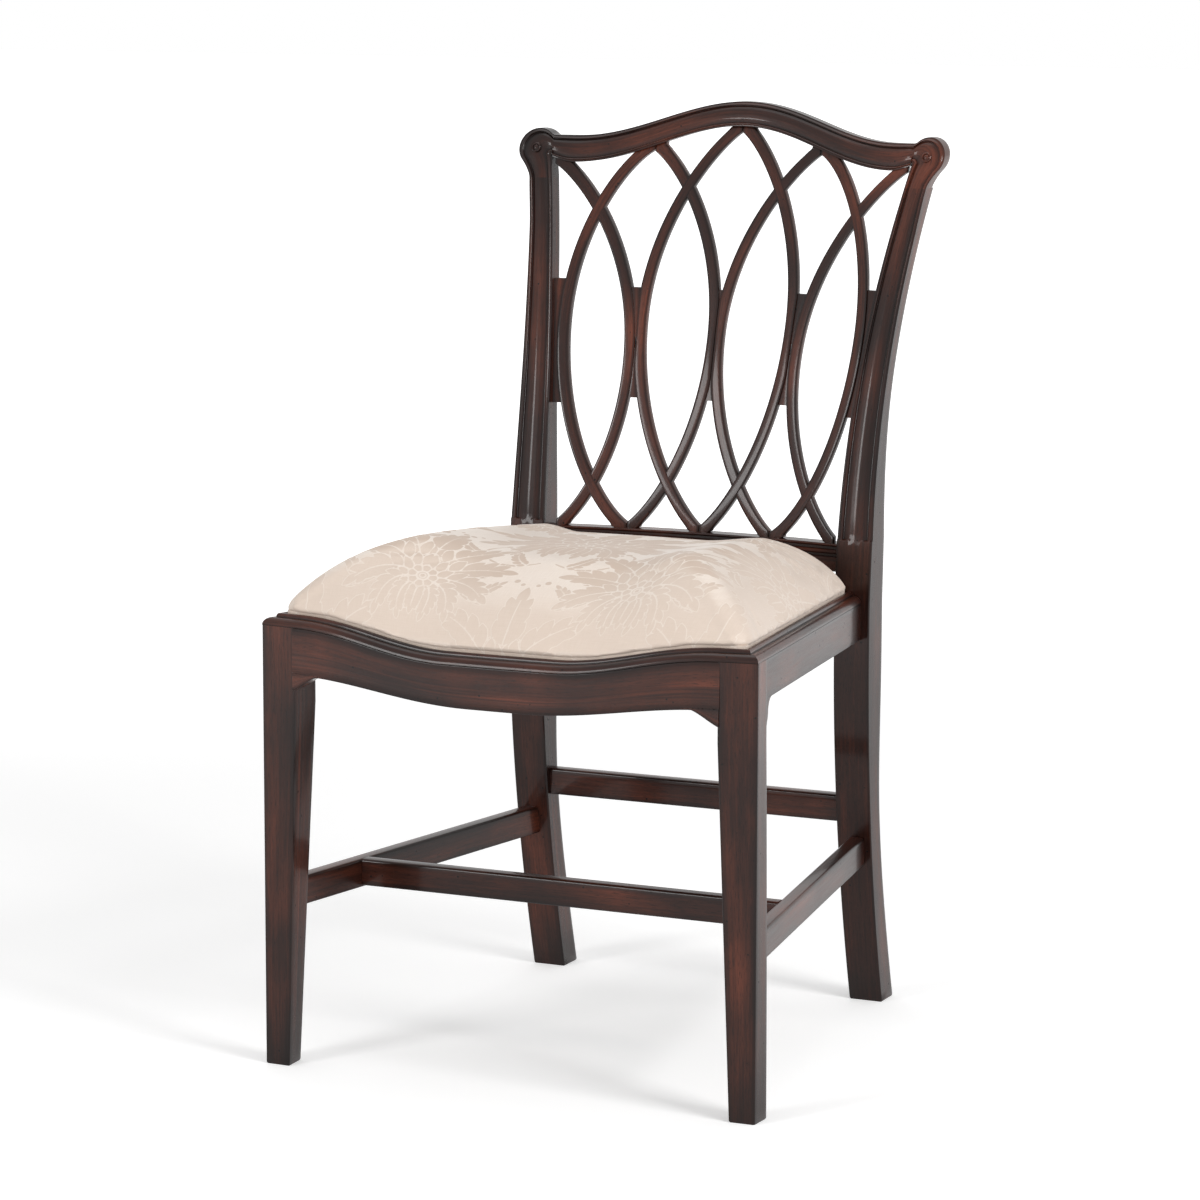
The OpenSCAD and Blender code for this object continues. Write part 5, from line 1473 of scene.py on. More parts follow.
class DamaskPattern:
    """A traditional damask of palmettes, leaves and scrolls as a signed distance field.

    The field holds, for each place in one mirrored repeat of the cloth, the distance
    inside the nearest motif in millimetres, negative in the ground. The whole repeat is
    woven finer by one factor.
    """

    width, height, step = 330.0, 380.0, 1.0
    fine = 1.35
    limit = 5.0
    vein = 0.8
    eye = 20.0
    low = 24.0
    # Leaves of a palmette: angle from its axis, reach, curl and width
    palmette_leaves = (
        (0, 158, 0, 38),
        (25, 156, 15, 36),
        (51, 146, 22, 37),
        (79, 128, 28, 35),
        (108, 104, 32, 29),
        (140, 88, 24, 23),
        (180, 72, 0, 21),
    )
    stems = (
        ((12, -150), (60, -176), (100, -140)),
        ((100, -140), (126, -108), (96, -84)),
        ((60, 120), (92, 128), (112, 158)),
        ((112, 158), (124, 176), (150, 172)),
    )
    # Leaves on the stems: root, bend, tip and width
    stem_leaves = (
        ((30, -158), (52, -146), (58, -118), 15),
        ((108, -128), (132, -124), (150, -100), 15),
        ((76, 124), (70, 146), (46, 168), 16),
        ((124, 168), (110, 186), (84, 184), 14),
    )
    # Berries: place and radius
    berries = (
        *((92, -80, 5), (84, -88, 4), (159, -60, 5), (149, -50, 3.5)),
        *((24, 178, 5), (12, 170, 4), (150, 176, 5)),
    )

    def __init__(self) -> None:
        """Draws one repeat."""
        x = np.arange(int(self.width / 2 / self.step) + 1) * self.step
        y = np.arange(int(self.height / self.step) + 1) * self.step
        self.x, self.y = np.meshgrid(x, y - len(y) // 2 * self.step)
        self.field = np.full(self.x.shape, -99.0)
        self._scrolls()
        self._palmette(0.0, -self.low, 1.0)
        for end in (-0.5, 0.5):
            self._palmette(self.width / 2, end * self.height - self.low, 0.8)

    def _palmette(self, cx: float, cy: float, k: float) -> None:
        """Draws leaves that spread from a flower, long in the middle and curling at the sides.

        Args:
            cx: Its place across.
            cy: Its place along.
            k: Its size.
        """
        centre = np.array([cx, cy])
        for angle, reach, curl, wide in self.palmette_leaves:
            for side in (1, -1) if angle % 180 else (1,):
                a, b = np.radians([90 - side * angle, 90 - side * (angle + curl)])
                out, aside = np.array([np.cos(a), np.sin(a)]), np.array([np.cos(b), np.sin(b)])
                root, middle = centre + self.eye * k * out, centre + reach * 0.62 * k * out
                self._leaf(root, middle, centre + reach * k * aside, wide * k)
        self._rosette(cx, cy, 27 * k, 8)

    def _scrolls(self) -> None:
        """Draws stems, small leaves and berries between the palmettes."""
        for stem in self.stems:
            self._stem(*map(np.array, stem), 2.6)
        for *spine, wide in self.stem_leaves:
            self._leaf(*map(np.array, spine), wide)
        for cx, cy, r in self.berries:
            self.field = np.maximum(self.field, r - np.hypot(self.x - cx, self.y - cy))

    def _near(self, points: np.ndarray) -> tuple[np.ndarray, np.ndarray]:
        """Distance from each cell to a line of points, and the share of its length there.

        Args:
            points: Points of the line.

        Returns:
            The distance and the share.
        """
        best, at = np.full(self.x.shape, 1e9), np.zeros(self.x.shape)
        for i, (p, v) in enumerate(zip(points, np.diff(points, axis=0))):
            t = np.clip(((self.x - p[0]) * v[0] + (self.y - p[1]) * v[1]) / (v @ v + 1e-9), 0, 1)
            d = np.hypot(self.x - p[0] - t * v[0], self.y - p[1] - t * v[1])
            at = np.where(d < best, (i + t) / (len(points) - 1), at)
            best = np.minimum(best, d)
        return best, at

    def _leaf(self, a: np.ndarray, b: np.ndarray, c: np.ndarray, wide: float, pairs: int = 5) -> None:
        """Adds a serrated leaf: lobes that lean forward off a midrib, parted by pale veins.

        Args:
            a: Its root.
            b: Where the root points to.
            c: Its tip.
            wide: Its width.
            pairs: Pairs of lobes.
        """
        spine = bend(a, b, c, np.linspace(0, 1, 9)[:, None])
        rib, along = self._near(spine)
        shape = np.full(self.x.shape, -99.0)
        for i in range(2 * pairs + 1):
            t = (i // 2 + 0.35) / (pairs + 0.6)
            j = t * (len(spine) - 1)
            k = min(int(j), len(spine) - 2)
            at, way = lerp(spine[k], spine[k + 1], j - k), spine[k + 1] - spine[k]
            end = i == 2 * pairs
            lean = 0.0 if end else math.radians(62 - 30 * t) * (1 if i % 2 else -1)
            reach = wide * (0.9 if end else 0.62 + 0.5 * math.sin(math.pi * (0.15 + 0.75 * t)))
            turn = math.atan2(way[1], way[0]) + lean
            heading = reach * np.array([math.cos(turn), math.sin(turn)])
            hook = reach * np.array([math.cos(turn - lean * 0.7), math.sin(turn - lean * 0.7)])
            tip = at + heading * 0.6 + hook * 0.42
            d, s = self._near(bend(at, at + heading * 0.55, tip, np.linspace(0, 1, 4)[:, None]))
            swell = np.sin(np.pi * (0.12 + 0.86 * s) ** 0.85) ** 0.7
            shape = np.maximum(shape, reach * 0.27 * swell - d)
        vein = rib - self.vein * (1.25 - along)
        self.field = np.maximum(np.where(shape > -1.6, -1.6, self.field), np.minimum(shape, vein))

    def _stem(self, a: np.ndarray, b: np.ndarray, c: np.ndarray, wide: float) -> None:
        """Adds a stem, thickest in its middle by half a sine wave."""
        d, t = self._near(bend(a, b, c, np.linspace(0, 1, 14)[:, None]))
        self.field = np.maximum(self.field, wide * (0.6 + 0.4 * np.sin(np.pi * t)) - d)

    def _rosette(self, cx: float, cy: float, r: float, petals: int) -> None:
        """Adds a flower: an edge that waves with the angle, petals parted by pale lines, a ringed eye.

        Args:
            cx: Its place across.
            cy: Its place along.
            r: Its radius.
            petals: Number of petals.
        """
        dx, dy = self.x - cx, self.y - cy
        d, a = np.hypot(dx, dy), np.arctan2(dy, dx) - np.pi / 2
        edge = r * (0.76 + 0.24 * np.abs(np.cos(petals * a / 2)) ** 0.6) - d
        parting = d * np.abs(np.sin(petals * (a + np.pi / petals) / 2)) * 2 / petals - 0.7
        split = np.where(d > r * 0.45, parting, 99)
        ring = np.minimum(np.abs(d - r * 0.4) - 1.0, np.abs(d - r * 0.2) - 0.8)
        flower = np.minimum(np.minimum(edge, split), ring)
        self.field = np.maximum(np.where(edge > -2, -2, self.field), flower)

    def sample(self, cloth: np.ndarray) -> np.ndarray:
        """Reads the field between its cells, mirrored across and repeated along the cloth.

        Args:
            cloth: Cloth coordinates in millimetres.

        Returns:
            Distance inside the motifs at each, limited each way.
        """
        x, y = (cloth * self.fine).T
        u = np.abs((x + self.width / 2) % self.width - self.width / 2)
        v = (y + self.height / 2) % self.height - self.height / 2
        gx, gy = u / self.step, v / self.step + self.field.shape[0] // 2
        x0 = np.clip(gx.astype(int), 0, self.field.shape[1] - 2)
        y0 = np.clip(gy.astype(int), 0, self.field.shape[0] - 2)
        fx, fy, g = gx - x0, gy - y0, self.field
        low, high = (lerp(g[row, x0], g[row, x0 + 1], fx) for row in (y0, y0 + 1))
        return np.clip(lerp(low, high, fy), -self.limit, self.limit)


@dataclass
class Cushion:
    """The damask cushion: pillow form, cloth simulation, weave and pattern.

    The voxel of its cloth and the cap on how far the simulation moves a point are in
    metres. Where the cloth hangs steeply, the figure has its side contrast: painted sheen and shade by slope.
    """

    voxel: float = 0.005
    most_move: float = 0.0035
    start_share: float = 0.965
    frames: int = 20
    divisions: int = 2
    mass: float = 0.3
    stretch: float = 18
    shear: float = 6
    stiffness: float = 1.2
    pressure: float = 4
    seam_up: float = 4.5
    centre: Pair = (0.0, 20.0)
    side_contrast: float = 0.12
    level_from: float = 0.78
    level_over: float = 0.17
    cover_t: float = 1.2
    wrap_h: float = 15

    def build(self, shop: Workshop) -> None:
        """Makes the cushion and the cloth that wraps its frame.

        Args:
            shop: Where the pieces are made.
        """
        pattern = DamaskPattern()
        start = Pillow(self.start_share).mesh("damask_cushion")
        piece = shop.add_mesh("damask_cushion", start, ("damask_cover", "foam_pad"), Body.SEAT, Slot.DAMASK)
        self._simulate(piece)
        divide = piece.modifiers.new("divide", "SUBSURF")
        divide.levels = self.divisions
        divide.render_levels = self.divisions
        apply_modifiers(piece)
        mesh = piece.data
        mesh.shade_smooth()
        normals = np.zeros(len(mesh.vertices) * 3, np.float32)
        mesh.vertices.foreach_get("normal", normals)
        # Painted sheen and shade: the contrast is full on level cloth and falls to the side contrast where
        # the cloth hangs steeply.
        level = np.clip((normals.reshape(-1, 3)[:, 2] - self.level_from) / self.level_over, 0, 1)
        self._weave(mesh, pattern, lerp(self.side_contrast, 1.0, level))
        self._wrap(shop, pattern)

    def _simulate(self, piece: bpy.types.Object) -> None:
        """Inflates the remeshed pillow a little as cloth, pinned at its seam, and caps its movement.

        Args:
            piece: The cushion.
        """
        scene = bpy.context.scene
        bpy.context.view_layer.objects.active = piece
        remesh = piece.modifiers.new("remesh", "REMESH")
        remesh.mode = "VOXEL"
        remesh.voxel_size = self.voxel
        apply_modifiers(piece)
        rest = coordinates(piece.data)
        x, y, z = FORM.from_seat(rest).T
        pinned = np.nonzero(z < FORM.cap_h + self.seam_up - FORM.seat_dip(x, y))[0]
        piece.vertex_groups.new(name="pinned").add(pinned.tolist(), 1.0, "REPLACE")
        cloth = piece.modifiers.new("cloth", "CLOTH")
        settings = cloth.settings
        settings.quality = 6
        settings.mass = self.mass
        settings.tension_stiffness = self.stretch
        settings.compression_stiffness = self.stretch
        settings.shear_stiffness = self.shear
        settings.bending_stiffness = self.stiffness
        settings.use_pressure = True
        settings.uniform_pressure_force = self.pressure
        settings.vertex_group_mass = "pinned"
        settings.effector_weights.gravity = 0
        cloth.collision_settings.use_collision = False
        cloth.point_cache.frame_start = 1
        cloth.point_cache.frame_end = self.frames
        for frame in range(1, self.frames + 1):
            scene.frame_set(frame)
        done = piece.evaluated_get(bpy.context.evaluated_depsgraph_get())
        shift = coordinates(done.to_mesh()) - rest
        done.to_mesh_clear()
        piece.modifiers.remove(cloth)
        scene.frame_set(1)
        size = np.linalg.norm(shift, axis=1, keepdims=True)
        log.info("cloth moved up to %.1f mm", size.max() / MM)
        shift *= np.minimum(1, self.most_move / np.maximum(size, 1e-9))
        piece.data.vertices.foreach_set("co", (rest + shift).astype(np.float32).ravel())
        piece.data.update()

    def _weave(self, mesh: bpy.types.Mesh, pattern: DamaskPattern, contrast: Number) -> None:
        """Stores the pattern, the contrast that paints sheen and shade, and the cloth coordinates on a mesh.

        Args:
            mesh: The mesh.
            pattern: The damask.
            contrast: Painted sheen and shade at each point, as the figure's contrast, or one for all.
        """
        cloth = Pillow().unroll(FORM.from_seat(coordinates(mesh)))
        store(mesh, "damask", pattern.sample(cloth + self.centre))
        store(mesh, "contrast", np.broadcast_to(contrast, len(cloth)))
        store(mesh, "cloth", np.column_stack([cloth * MM, np.zeros(len(cloth))]))

    def _wrap(self, shop: Workshop, pattern: DamaskPattern) -> None:
        """Adds the cloth drawn down round the seat frame and turned under it.

        Args:
            shop: Where the pieces are made.
            pattern: The damask.
        """
        f, form, h = FORM, Pillow(), self.wrap_h
        outer = form.loop(f.seat_edge, form.seat_corner_r)
        inner = form.loop(f.seat_edge + self.cover_t, form.seat_corner_r, self.cover_t)
        turned = lerp(outer, inner, 0.25)
        plan = np.array([inner, outer, outer, outer, turned, inner, inner, inner])
        z = np.array([h, h, 8.0, 2.4, 1.8, 1.6, 8.0, h])[:, None]
        x, y = plan[..., 0], plan[..., 1]
        rings = f.on_seat(grid(x, y, z - f.seat_dip(x, y)))
        mesh = Surface("damask_wrap", rings, np.ones(len(outer)), caps=False).mesh(40)
        # Painted shade: the wrap hangs steeply and takes the side contrast.
        self._weave(mesh, pattern, self.side_contrast)
        shop.add_mesh("damask_wrap", mesh, (), Body.SEAT, Slot.DAMASK)


# Materials

# A wave texture of scale one repeats at this distance, a tenth of pi
WAVE = 0.31416

Tree = bpy.types.NodeTree
Socket = bpy.types.NodeSocket | None
Inputs = dict[int | str, object]
NO_INPUTS: Inputs = {}


def linear(code: str) -> tuple[float, float, float, float]:
    """Turns an sRGB hex colour into linear values.

    Args:
        code: Colour such as "#a0b1c2".

    Returns:
        Linear red, green, blue and an alpha of one.
    """
    values = [int(code[i : i + 2], 16) / 255 for i in (1, 3, 5)]
    out = [v / 12.92 if v <= 0.04045 else ((v + 0.055) / 1.055) ** 2.4 for v in values]
    return out[0], out[1], out[2], 1.0


def put(tree: Tree, kind: str, inputs: Inputs = NO_INPUTS, out: int | str = 0, **settings: object) -> Socket:
    """Adds a node, sets its properties, and sets or links its inputs.

    Args:
        tree: Node tree of the material.
        kind: Kind of node, without Blender's prefix.
        inputs: A number, a colour, a hex code or an output socket for each input.
        out: Name or number of the output that is used.
        settings: Properties of the node.

    Returns:
        That output, or None if the node is the tree's last.
    """
    node = tree.nodes.new("ShaderNode" + kind)
    for key, value in settings.items():
        setattr(node, key, value)
    for key, value in inputs.items():
        if isinstance(value, bpy.types.NodeSocket):
            tree.links.new(value, node.inputs[key])
        else:
            node.inputs[key].default_value = linear(value) if isinstance(value, str) else value
    return node.outputs[out] if node.outputs else None


class Finish:
    """A finish: the surface's node tree, ended by one shader."""

    name = "finish"

    def dress(self, tree: Tree) -> Inputs:
        """Adds the pattern's nodes and gives the shader's inputs."""
        raise NotImplementedError

    def material(self) -> bpy.types.Material:
        """Makes the material."""
        made = bpy.data.materials.new(self.name)
        made.use_nodes = True
        tree = made.node_tree
        tree.nodes.clear()
        shader = put(tree, "BsdfPrincipled", self.dress(tree))
        put(tree, "OutputMaterial", {"Surface": shader})
        return made


@dataclass(frozen=True)
class PolishedMahogany(Finish):
    """Mahogany, stained dark red-brown and wax polished.

    The eye sees reddish figure along the grain, fine open pores, painted shade at the arrises
    and in the hollows, small knocks and worm pits, and a thin glossy skin.
    """

    name: str = "polished_mahogany"
    deep: str = "#190c09"
    brown: str = "#2e1711"
    red: str = "#482419"
    bright: str = "#683525"
    stain_and_shade: str = "#0e0706"
    pit: str = "#090504"
    figure_mm: float = 30.0
    fibre_mm: float = 2.4
    pore_mm: float = 0.7
    knock_mm: float = 17.0
    polish: float = 0.3
    polish_rough: float = 0.1
    level: float = 0.13

    def dress(self, tree: Tree) -> Inputs:
        """Mixes figure, fibre and cloud into a colour ramp, fills the pores, paints shade from the tone, then
        adds pits and knocks.

        Args:
            tree: The material's node tree.

        Returns:
            Inputs of the shader.
        """
        grain = put(tree, "Attribute", out="Vector", attribute_name="grain")
        tone = put(tree, "Attribute", out="Fac", attribute_name="tone")
        place = put(tree, "TexCoord", out="Object")
        noises = []
        sizes = (self.figure_mm, 6.0, 3), (self.fibre_mm, 30.0, 5), (self.pore_mm, 14.0, 2)
        for size, along, detail in sizes:
            across = 1 / (size * MM)
            scaled = put(tree, "Mapping", {"Vector": grain, "Scale": (across, across / along, 9)})
            noises.append(put(tree, "TexNoise", {"Vector": scaled, "Scale": 1.0, "Detail": detail}))
        figure, fibre, pores = noises
        cloud = put(tree, "TexNoise", {"Vector": place, "Scale": 7.0, "Detail": 3})
        mixed = 0.0
        for noise, weight in ((figure, 0.5), (fibre, 0.22), (cloud, 0.44)):
            mixed = put(tree, "Math", {0: noise, 1: weight, 2: mixed}, operation="MULTIPLY_ADD")
        wood = put(tree, "ValToRGB", {0: mixed})
        band = wood.node.color_ramp
        for at, code in ((0.4, self.deep), (0.54, self.brown), (0.64, self.red), (0.76, self.bright)):
            band.elements.new(at).color = linear(code)
        band.elements.remove(band.elements[0])
        band.elements.remove(band.elements[-1])
        open_pore = put(tree, "MapRange", {0: pores, 1: 0.36, 2: 0.44, 3: 0.5, 4: 0.0})
        colour = put(tree, "Mix", {0: open_pore, 6: wood, 7: self.stain_and_shade}, 2, data_type="RGBA")
        # Painted shade: where the tone is low, in recesses and at arrises, the colour goes to the near-black
        # pore colour; the cloud varies this at random.
        tone_and_cloud = put(tree, "Math", {0: cloud, 1: 0.5, 2: -0.25}, operation="MULTIPLY_ADD")
        tone_and_cloud = put(tree, "Math", {0: tone_and_cloud, 1: tone}, operation="ADD")
        unshaded_share = put(tree, "MapRange", {0: tone_and_cloud, 1: 0.0, 2: 0.7, 3: 0.15, 4: 1.0})
        colour = put(tree, "Mix", {0: unshaded_share, 6: self.stain_and_shade, 7: colour}, 2, data_type="RGBA")
        marks = []
        cells = (place, 95.0, 0.07, 0.14), (grain, 1 / (self.knock_mm * MM), 0.02, 0.07)
        for source, scale, low, high in cells:
            cell = put(tree, "TexVoronoi", {"Vector": source, "Scale": scale}, "Distance")
            marks.append(put(tree, "MapRange", {0: cell, 1: low, 2: high, 3: 1.0, 4: 0.0}))
        chosen = put(tree, "TexNoise", {"Vector": place, "Scale": 60.0, "Detail": 1})
        chosen = put(tree, "MapRange", {0: chosen, 1: 0.54, 2: 0.58})
        pits = put(tree, "Math", {0: marks[0], 1: chosen}, operation="MULTIPLY")
        struck = put(tree, "MapRange", {0: cloud, 1: 0.5, 2: 0.56})
        knocks = put(tree, "Math", {0: marks[1], 1: struck}, operation="MULTIPLY")
        hurt = put(tree, "Math", {0: pits, 1: knocks}, operation="MAXIMUM")
        colour = put(tree, "Mix", {0: hurt, 6: colour, 7: self.pit}, 2, data_type="RGBA")
        rough = put(tree, "Math", {0: fibre, 1: 0.16, 2: 0.26}, operation="MULTIPLY_ADD")
        rough = put(tree, "Math", {0: hurt, 1: 0.3, 2: rough}, operation="MULTIPLY_ADD")
        height = 0.0
        for mark, rise in ((fibre, 0.25), (open_pore, -0.6), (hurt, -1.4)):
            height = put(tree, "Math", {0: mark, 1: rise, 2: height}, operation="MULTIPLY_ADD")
        fine = put(tree, "Bump", {"Height": height, "Strength": 0.45, "Distance": 0.25 * MM})
        waves = put(tree, "Bump", {"Height": cloud, "Strength": 0.2, "Distance": 1.2 * MM, "Normal": fine})
        return {
            "Base Color": colour,
            "Roughness": rough,
            "Normal": waves,
            "Specular IOR Level": self.level,
            "Coat Weight": self.polish,
            "Coat Roughness": self.polish_rough,
        }


@dataclass(frozen=True)
class SawnBeech(Finish):
    """Sawn beech of the seat frame and the corner blocks: pale, dull, with short dark flecks."""

    name: str = "sawn_beech"
    dark: str = "#a8814f"
    pale: str = "#d8b888"
    fleck: str = "#7d5a35"
    ring_mm: float = 14.0
    fleck_mm: float = 1.4

    def dress(self, tree: Tree) -> Inputs:
        """Mixes two browns along the grain and adds flecks.

        Args:
            tree: The material's node tree.

        Returns:
            Inputs of the shader.
        """
        place = put(tree, "TexCoord", out="Object")
        noises = []
        for size, stretch in ((self.ring_mm, 8.0), (self.fleck_mm, 5.0)):
            across = 1 / (size * MM)
            scaled = put(tree, "Mapping", {"Vector": place, "Scale": (across / stretch, across, across)})
            noises.append(put(tree, "TexNoise", {"Vector": scaled, "Scale": 1.0, "Detail": 4}))
        rings, flecks = noises
        shade = put(tree, "MapRange", {0: rings, 1: 0.3, 2: 0.7})
        colour = put(tree, "Mix", {0: shade, 6: self.dark, 7: self.pale}, 2, data_type="RGBA")
        spot = put(tree, "MapRange", {0: flecks, 1: 0.56, 2: 0.66, 3: 0.0, 4: 0.4})
        colour = put(tree, "Mix", {0: spot, 6: colour, 7: self.fleck}, 2, data_type="RGBA")
        rough = put(tree, "MapRange", {0: rings, 1: 0.3, 2: 0.7, 3: 0.68, 4: 0.85})
        normal = put(tree, "Bump", {"Height": flecks, "Strength": 0.5, "Distance": 0.4 * MM})
        return {"Base Color": colour, "Roughness": rough, "Normal": normal}


@dataclass(frozen=True)
class IvoryDamask(Finish):
    """Silk and cotton damask: ivory satin ground and matt champagne figure.

    The figure is crisp where the cloth lies flat, as painted sheen. Where it turns down, the ground
    takes painted shade and only the pale outlines show. Threads are 0.35 mm, drawn at 1.1 mm so that they can
    be seen.
    """

    name: str = "ivory_damask"
    ground: str = "#ebddd1"
    ground_pale: str = "#f1e6db"
    # Painted shade: the ground's colour where the cloth turns down.
    turned: str = "#dccbbd"
    figure: str = "#c7b1a0"
    figure_pale: str = "#d6c4b5"
    outline: str = "#fdf6ee"
    shadow: str = "#c9b5a1"
    thread_mm: float = 1.1
    line_mm: float = 0.9

    def dress(self, tree: Tree) -> Inputs:
        """Colours the figure from its distance field and bumps the two weaves.

        Args:
            tree: The material's node tree.

        Returns:
            Inputs of the shader.
        """
        field_at = put(tree, "Attribute", out="Fac", attribute_name="damask")
        contrast = put(tree, "Attribute", out="Fac", attribute_name="contrast")
        cloth = put(tree, "Attribute", out="Vector", attribute_name="cloth")
        motif = put(tree, "MapRange", {0: field_at, 1: -0.4, 2: 0.4}, interpolation_type="SMOOTHSTEP")
        off = put(tree, "Math", {0: field_at}, operation="ABSOLUTE")
        line = put(tree, "MapRange", {0: off, 1: 0.3, 2: self.line_mm, 3: 0.3, 4: 0.0})
        # Painted sheen: the figure shows in full only where the contrast is high, on level cloth.
        part = put(tree, "Math", {0: motif, 1: contrast}, operation="MULTIPLY")
        threads = []
        for scale in ((60, 900, 1), (1000, 70, 1), (14, 14, 1)):
            scaled = put(tree, "Mapping", {"Vector": cloth, "Scale": scale})
            threads.append(put(tree, "TexNoise", {"Vector": scaled, "Scale": 1.0, "Detail": 3}))
        slub = put(tree, "Math", {0: threads[0], 1: threads[1]}, operation="ADD")
        base = put(tree, "Mix", {0: threads[2], 6: self.ground, 7: self.ground_pale}, 2, data_type="RGBA")
        # Painted shade: where the contrast is low, on steep cloth, the ground goes to the turned colour.
        base = put(tree, "Mix", {0: contrast, 6: self.turned, 7: base}, 2, data_type="RGBA")
        figure = put(tree, "Mix", {0: threads[2], 6: self.figure, 7: self.figure_pale}, 2, data_type="RGBA")
        thin = put(tree, "MapRange", {0: slub, 1: 0.7, 2: 1.3, 3: 0.25, 4: 0.0})
        colour = base
        for share, over in ((part, figure), (line, self.outline), (thin, self.shadow)):
            colour = put(tree, "Mix", {0: share, 6: colour, 7: over}, 2, data_type="RGBA")
        rough = put(tree, "Math", {0: motif, 1: 0.24, 2: 0.42}, operation="MULTIPLY_ADD")
        waves = []
        for way in ("X", "Y"):
            settings = {"Vector": cloth, "Scale": WAVE / (self.thread_mm * MM)}
            waves.append(put(tree, "TexWave", settings, "Fac", bands_direction=way))
        warp = put(tree, "MapRange", {0: motif, 3: 0.7, 4: 0.25})
        weft = put(tree, "MapRange", {0: motif, 3: 0.2, 4: 0.7})
        height = 0.0
        for thread, rise in ((waves[0], warp), (waves[1], weft), (slub, 0.6)):
            height = put(tree, "Math", {0: thread, 1: rise, 2: height}, operation="MULTIPLY_ADD")
        weave = put(tree, "Bump", {"Height": height, "Strength": 0.3, "Distance": 0.15 * MM})
        relief = put(tree, "Bump", {"Height": motif, "Strength": 0.5, "Distance": 0.22 * MM, "Normal": weave})
        sheen = {"Sheen Weight": 0.2, "Sheen Roughness": 0.4}
        return {"Base Color": colour, "Roughness": rough, "Normal": relief} | sheen


@dataclass(frozen=True)
class JuteWebbing(Finish):
    """Woven jute webbing: coarse brown threads, matt and hairy."""

    name: str = "jute_webbing"
    dark: str = "#5f4a2c"
    pale: str = "#cbb184"
    thread_mm: float = 2.4

    def dress(self, tree: Tree) -> Inputs:
        """Crosses two bands of waves and roughens them.

        Args:
            tree: The material's node tree.

        Returns:
            Inputs of the shader.
        """
        place = put(tree, "TexCoord", out="Object")
        settings = {"Vector": place, "Scale": WAVE / (self.thread_mm * MM)}
        waves = [put(tree, "TexWave", settings, "Fac", bands_direction=way) for way in "XY"]
        weave = put(tree, "Math", {0: waves[0], 1: waves[1]}, operation="MULTIPLY")
        fluff = put(tree, "TexNoise", {"Vector": place, "Scale": 900.0})
        shade = put(tree, "Math", {0: fluff, 1: 0.6, 2: weave}, operation="MULTIPLY_ADD")
        colour = put(tree, "Mix", {0: shade, 6: self.dark, 7: self.pale}, 2, data_type="RGBA")
        rough = put(tree, "MapRange", {0: fluff, 1: 0.3, 2: 0.7, 3: 0.8, 4: 0.95})
        normal = put(tree, "Bump", {"Height": weave, "Strength": 0.8, "Distance": 0.8 * MM})
        return {"Base Color": colour, "Roughness": rough, "Normal": normal}


@dataclass(frozen=True)
class BlackDustCloth(Finish):
    """Black non-woven cloth tacked under the seat: dull, with pressed points."""

    name: str = "black_dust_cloth"
    dark: str = "#131313"
    pale: str = "#343332"
    fibre_mm: float = 1.4
    point_mm: float = 2.4

    def dress(self, tree: Tree) -> Inputs:
        """Mixes fibres and presses points into them.

        Args:
            tree: The material's node tree.

        Returns:
            Inputs of the shader.
        """
        place = put(tree, "TexCoord", out="Object")
        fibres = put(tree, "TexNoise", {"Vector": place, "Scale": 1 / (self.fibre_mm * MM), "Detail": 4})
        points = put(tree, "TexVoronoi", {"Vector": place, "Scale": 1 / (self.point_mm * MM)}, "Distance")
        shade = put(tree, "MapRange", {0: fibres, 1: 0.3, 2: 0.75})
        colour = put(tree, "Mix", {0: shade, 6: self.dark, 7: self.pale}, 2, data_type="RGBA")
        rough = put(tree, "MapRange", {0: fibres, 1: 0.3, 2: 0.7, 3: 0.82, 4: 0.95})
        normal = put(tree, "Bump", {"Height": points, "Strength": 0.5, "Distance": 0.3 * MM})
        return {"Base Color": colour, "Roughness": rough, "Normal": normal}


@dataclass(frozen=True)
class TurnedSteel(Finish):
    """Bright turned steel of the corner block screws, with fine rings."""

    name: str = "turned_steel"
    dark: str = "#6f6f6c"
    pale: str = "#a9a8a4"
    ring_mm: float = 0.8

    def dress(self, tree: Tree) -> Inputs:
        """Rings the metal across its height.

        Args:
            tree: The material's node tree.

        Returns:
            Inputs of the shader.
        """
        place = put(tree, "TexCoord", out="Object")
        across = 1 / (self.ring_mm * MM)
        scaled = put(tree, "Mapping", {"Vector": place, "Scale": (across / 4, across / 4, across)})
        grooves = put(tree, "TexNoise", {"Vector": scaled, "Scale": 1.0})
        colour = put(tree, "Mix", {0: grooves, 6: self.dark, 7: self.pale}, 2, data_type="RGBA")
        rough = put(tree, "MapRange", {0: grooves, 1: 0.3, 2: 0.7, 3: 0.28, 4: 0.45})
        normal = put(tree, "Bump", {"Height": grooves, "Strength": 0.4, "Distance": 0.2 * MM})
        return {"Base Color": colour, "Metallic": 1.0, "Roughness": rough, "Normal": normal}


